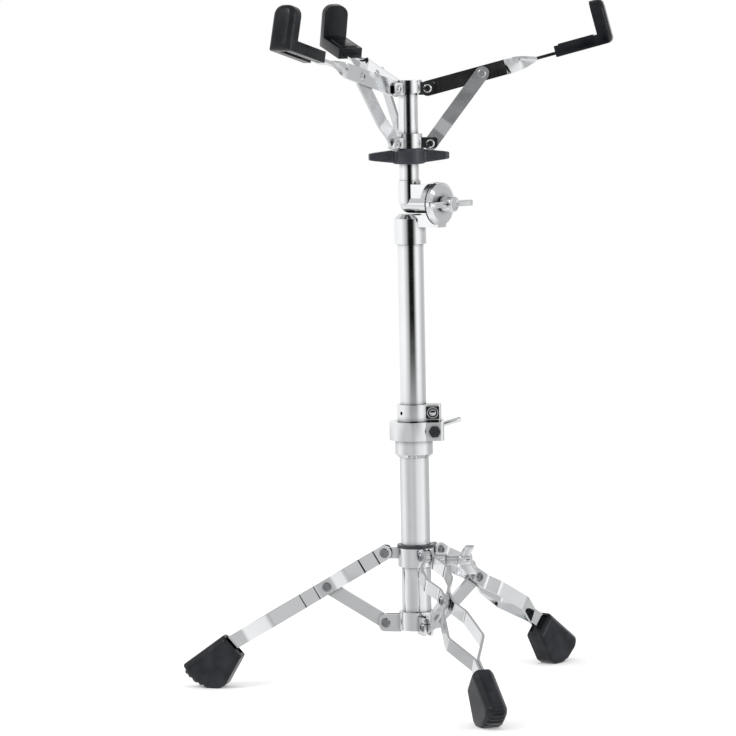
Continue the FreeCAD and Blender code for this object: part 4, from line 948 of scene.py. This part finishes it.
@as_class
class STAND_OT_model_basket_nut(bpy.types.Operator):
    """Models the basket's moulded nut over its solid"""

    bl_idname = "stand.model_basket_nut"
    bl_label = "Model basket nut"

    def execute(self, context):
        nut = winged_nut(context.scene.stand_details)
        settle(nut, "moulded_wing_nut", "moulded_plastic", "black_plastic", "wing_nut", "basket_nut")
        return {"FINISHED"}


@as_class
class STAND_OT_model_memory_screw(bpy.types.Operator):
    """Models a dark plate that lines the pocket of the memory lock and darkens it, and the socket of its
    screw
    """

    bl_idname = "stand.model_memory_screw"
    bl_label = "Model memory screw"

    def execute(self, context):
        small, large = SOCKET_RADII
        # dark plate laid in the pocket, which makes the pocket read dark
        pocket = begin_box("pocket", POCKET_LOW, POCKET_HIGH)
        bpy.ops.object.mode_set(mode="EDIT")
        pick(pocket, "edges", lambda edge: not close_to(edge.verts[0].co.y, edge.verts[1].co.y))
        bpy.ops.mesh.bevel(offset=POCKET_CORNER, segments=POCKET_SEGMENTS, affect="EDGES")
        bpy.ops.object.mode_set(mode="OBJECT")
        combine(pocket, begin_rod("head_hole", MEMORY_HEAD_RADIUS, SOCKET_FRONT, 0), "DIFFERENCE")
        ring = begin_rod("ring", large, SOCKET_FRONT, SOCKET_FRONT + SOCKET_RING_DEPTH, sides=SOCKET_SIDES)
        combine(ring, begin_rod("ring_hole", small, 2 * SOCKET_FRONT, 0, sides=SOCKET_SIDES), "DIFFERENCE")
        boss = begin_rod("boss", small, SOCKET_FRONT, SOCKET_FRONT + BOSS_DEPTH, sides=SOCKET_SIDES)
        soften(boss, BOSS_ROUND, BOSS_SHARP)
        smooth(boss)
        dark = merge([pocket, ring])
        smooth(dark)
        # the plate takes the dark blackened steel, which darkens the pocket
        for piece, name, finish, slot in ((dark, "memory_pocket", "blackened_steel", "black_steel"),
                                          (boss, "memory_screw_boss", "plated_chrome", "chrome")):
            set_in_place(piece, Matrix.Translation(MEMORY_SCREW))
            settle(piece, name, finish, slot, "mast")
        return {"FINISHED"}


def glow_material(name, level):
    """Glow of a studio panel, whose strength is the value or node socket that level gives."""
    material = new_material(name)
    place = add_node(material, "ShaderNodeTexCoord")
    axes = add_node(material, "ShaderNodeSeparateXYZ", Vector=place.outputs["Object"])
    glow = add_node(material, "ShaderNodeEmission", Strength=level(material, axes))
    add_node(material, "ShaderNodeOutputMaterial", Surface=glow.outputs[0])
    return material


def mirror_panel(name, level):
    """Makes the panel that was just added glow, for mirrors only."""
    panel = bpy.context.object
    panel.name = name
    bpy.ops.object.transform_apply()
    panel.data.materials.append(glow_material(name, level))
    panel.visible_camera = False
    panel.visible_diffuse = False
    panel.visible_shadow = False


def by_bearing(material, axes, stops):
    """Level by bearing about the column, in degrees: 0 is towards the camera and positive to its right."""
    ahead = add_node(material, "ShaderNodeMath", {"operation": "MULTIPLY"}, Value=axes.outputs["Y"])
    ahead.inputs[1].default_value = -1
    bearing = add_node(material, "ShaderNodeMath", {"operation": "ARCTAN2"}, Value=axes.outputs["X"])
    material.node_tree.links.new(ahead.outputs[0], bearing.inputs[1])
    share = add_node(material, "ShaderNodeMapRange", Value=bearing.outputs[0], From_Min=-math.pi,
                     From_Max=math.pi)
    ramp = add_node(material, "ShaderNodeValToRGB", Fac=share.outputs["Result"])
    elements = ramp.color_ramp.elements
    for number, (angle, level) in enumerate(stops):
        element = elements[number] if number < len(elements) else elements.new(1)
        element.position = (angle + 180) / 360
        element.color = (level, level, level, 1)
    return ramp.outputs["Color"]


def wall_level(material, axes):
    """Levels of the wall by bearing, which pass from one to the next as it rises."""
    level, *levels_above = [by_bearing(material, axes, stops) for stops in WALL_STOPS]
    for (start, end), above in zip(WALL_FADES, levels_above):
        share = add_node(material, "ShaderNodeMapRange", {"interpolation_type": "SMOOTHSTEP"},
                         Value=axes.outputs["Z"], From_Min=start, From_Max=end)
        level = add_node(material, "ShaderNodeMix", Factor=share.outputs["Result"], A=level,
                         B=above).outputs["Result"]
    return level


def studio_wall():
    """Ring wall that only mirrors see: dark behind the camera, white to its sides, grey above and behind."""
    bpy.ops.mesh.primitive_cylinder_add(vertices=WALL_SIDES, radius=WALL_RADIUS, depth=WALL_HEIGHT,
                                        end_fill_type="NOTHING", location=(0, 0, WALL_HEIGHT / 2))
    mirror_panel("studio_wall", wall_level)


def level_disc(name, height, level):
    """Disc as wide as the wall that only mirrors see."""
    bpy.ops.mesh.primitive_circle_add(vertices=WALL_SIDES, radius=WALL_RADIUS, fill_type="NGON",
                                      location=(0, 0, height))
    mirror_panel(name, level)


def white_card():
    """Upright card that only mirrors see."""
    bpy.ops.mesh.primitive_plane_add(size=1, location=CARD_PLACE, rotation=(math.pi / 2, 0, CARD_BEARING))
    bpy.context.object.scale = (*CARD_SIZE, 1)
    mirror_panel("white_card", lambda material, axes: CARD_LEVEL)


def seen_rays(owner):
    """Socket that is 1 for rays of the camera, of mirrors and of glass, and 0 for the light on the stand."""
    rays = add_node(owner, "ShaderNodeLightPath")
    seen = rays.outputs["Is Camera Ray"]
    for name in ("Is Glossy Ray", "Is Transmission Ray"):
        either = add_node(owner, "ShaderNodeMath", {"operation": "MAXIMUM"}, Value=seen)
        owner.node_tree.links.new(rays.outputs[name], either.inputs[1])
        seen = either.outputs[0]
    return seen


def white_room(strength):
    """World that is white to the camera and to mirrors and a plain fill to everything else."""
    world = bpy.data.worlds.new("white_room")
    bpy.context.scene.world = world
    world.use_nodes = True
    world.node_tree.nodes.clear()
    level = add_node(world, "ShaderNodeMapRange", Value=seen_rays(world), To_Min=strength, To_Max=1)
    glow = add_node(world, "ShaderNodeBackground", Color=linear("#FFFFFF"), Strength=level.outputs["Result"])
    add_node(world, "ShaderNodeOutputWorld", Surface=glow.outputs[0])


def pale_floor():
    """White floor with the stand's shadow; a faint glow that lights nothing hides its far edge."""
    bpy.ops.mesh.primitive_plane_add(size=FLOOR_SIDE)
    floor = bpy.context.object
    floor.name = "studio_floor"
    material = new_material("studio_floor")
    matt = add_node(material, "ShaderNodeBsdfDiffuse", Color=linear(FLOOR_COLOUR))
    level = add_node(material, "ShaderNodeMapRange", Value=seen_rays(material), To_Max=FLOOR_LIFT_LEVEL)
    glow = add_node(material, "ShaderNodeEmission", Strength=level.outputs["Result"])
    both = add_node(material, "ShaderNodeAddShader")
    for shader, socket in zip((matt, glow), both.inputs):
        material.node_tree.links.new(shader.outputs[0], socket)
    add_node(material, "ShaderNodeOutputMaterial", Surface=both.outputs[0])
    floor.data.materials.append(material)


def soft_box(name, power, place, aim):
    """Square area lamp that faces a point."""
    lamp = bpy.data.lights.new(name, "AREA")
    lamp.energy = power
    lamp.size = SOFT_BOX_SIDE
    box = bpy.data.objects.new(name, lamp)
    box.location = place
    box.rotation_euler = (Vector(aim) - Vector(place)).to_track_quat("-Z", "Y").to_euler()
    bpy.context.collection.objects.link(box)


def photo_camera(studio):
    """Camera at the photograph's viewing angle."""
    camera = bpy.data.objects.new("camera", bpy.data.cameras.new("camera"))
    camera.data.sensor_width = SENSOR_WIDTH
    camera.data.lens = SENSOR_WIDTH * studio.pixels_per_metre * studio.camera_distance / IMAGE_SIDE
    look = Matrix.Rotation(math.pi / 2 - studio.pitch, 4, "X") @ Matrix.Rotation(studio.roll, 4, "Z")
    place = Vector((-studio.camera_left, -studio.camera_distance, studio.camera_height))
    camera.matrix_world = Matrix.Translation(place) @ look
    bpy.context.collection.objects.link(camera)
    bpy.context.scene.camera = camera


@as_class
class STAND_OT_stage(bpy.types.Operator):
    """Builds the white studio, its lamps and the camera"""

    bl_idname = "stand.stage"
    bl_label = "Build studio"

    def execute(self, context):
        studio = context.scene.stand_studio
        bpy.ops.object.select_all(action="DESELECT")
        white_room(studio.fill_light)
        pale_floor()
        studio_wall()
        level_disc("floor_glow", FLOOR_GLOW_LIFT,
                   lambda material, axes: by_bearing(material, axes, FLOOR_STOPS))
        level_disc("studio_ceiling", WALL_HEIGHT, lambda material, axes: CEILING_LEVEL)
        white_card()
        soft_box("key_soft_box", studio.key_power, *KEY_BOX)
        soft_box("right_soft_box", studio.right_power, *RIGHT_BOX)
        photo_camera(studio)
        context.scene.view_settings.view_transform = "Standard"
        return {"FINISHED"}


STEPS = ("dress_column", "dress_tripod", "dress_feet", "dress_basket", "dress_rivets", "dress_hooks",
         "model_feet", "model_hooks", "model_tilt_teeth", "model_wing_screws", "model_basket_nut",
         "model_memory_screw", "stage")


@as_class
class STAND_PT_looks(bpy.types.Panel):
    """Sidebar list of the stand's steps and settings"""

    bl_idname = "STAND_PT_looks"
    bl_label = "Drum stand"
    bl_space_type = "VIEW_3D"
    bl_region_type = "UI"
    bl_category = "Stand"

    def draw(self, context):
        for step in STEPS:
            self.layout.operator("stand." + step)
        scene = context.scene
        for group in (scene.stand_finishes, scene.stand_details, scene.stand_studio):
            for name in group.bl_rna.properties.keys():
                if name not in {"rna_type", "name"}:
                    self.layout.prop(group, name)


def register():
    """Registers the classes and hangs the settings on the scene."""
    for kind in CLASSES:
        bpy.utils.register_class(kind)
    bpy.types.Scene.stand_finishes = PointerProperty(type=StandFinishes)
    bpy.types.Scene.stand_details = PointerProperty(type=StandDetails)
    bpy.types.Scene.stand_studio = PointerProperty(type=StandStudio)


def unregister():
    """Takes the settings off the scene and unregisters the classes."""
    del bpy.types.Scene.stand_studio
    del bpy.types.Scene.stand_details
    del bpy.types.Scene.stand_finishes
    for kind in reversed(CLASSES):
        bpy.utils.unregister_class(kind)


def main():
    """Runs every step."""
    register()
    for step in STEPS:
        getattr(bpy.ops.stand, step)()


if __name__ == "__main__":
    main()
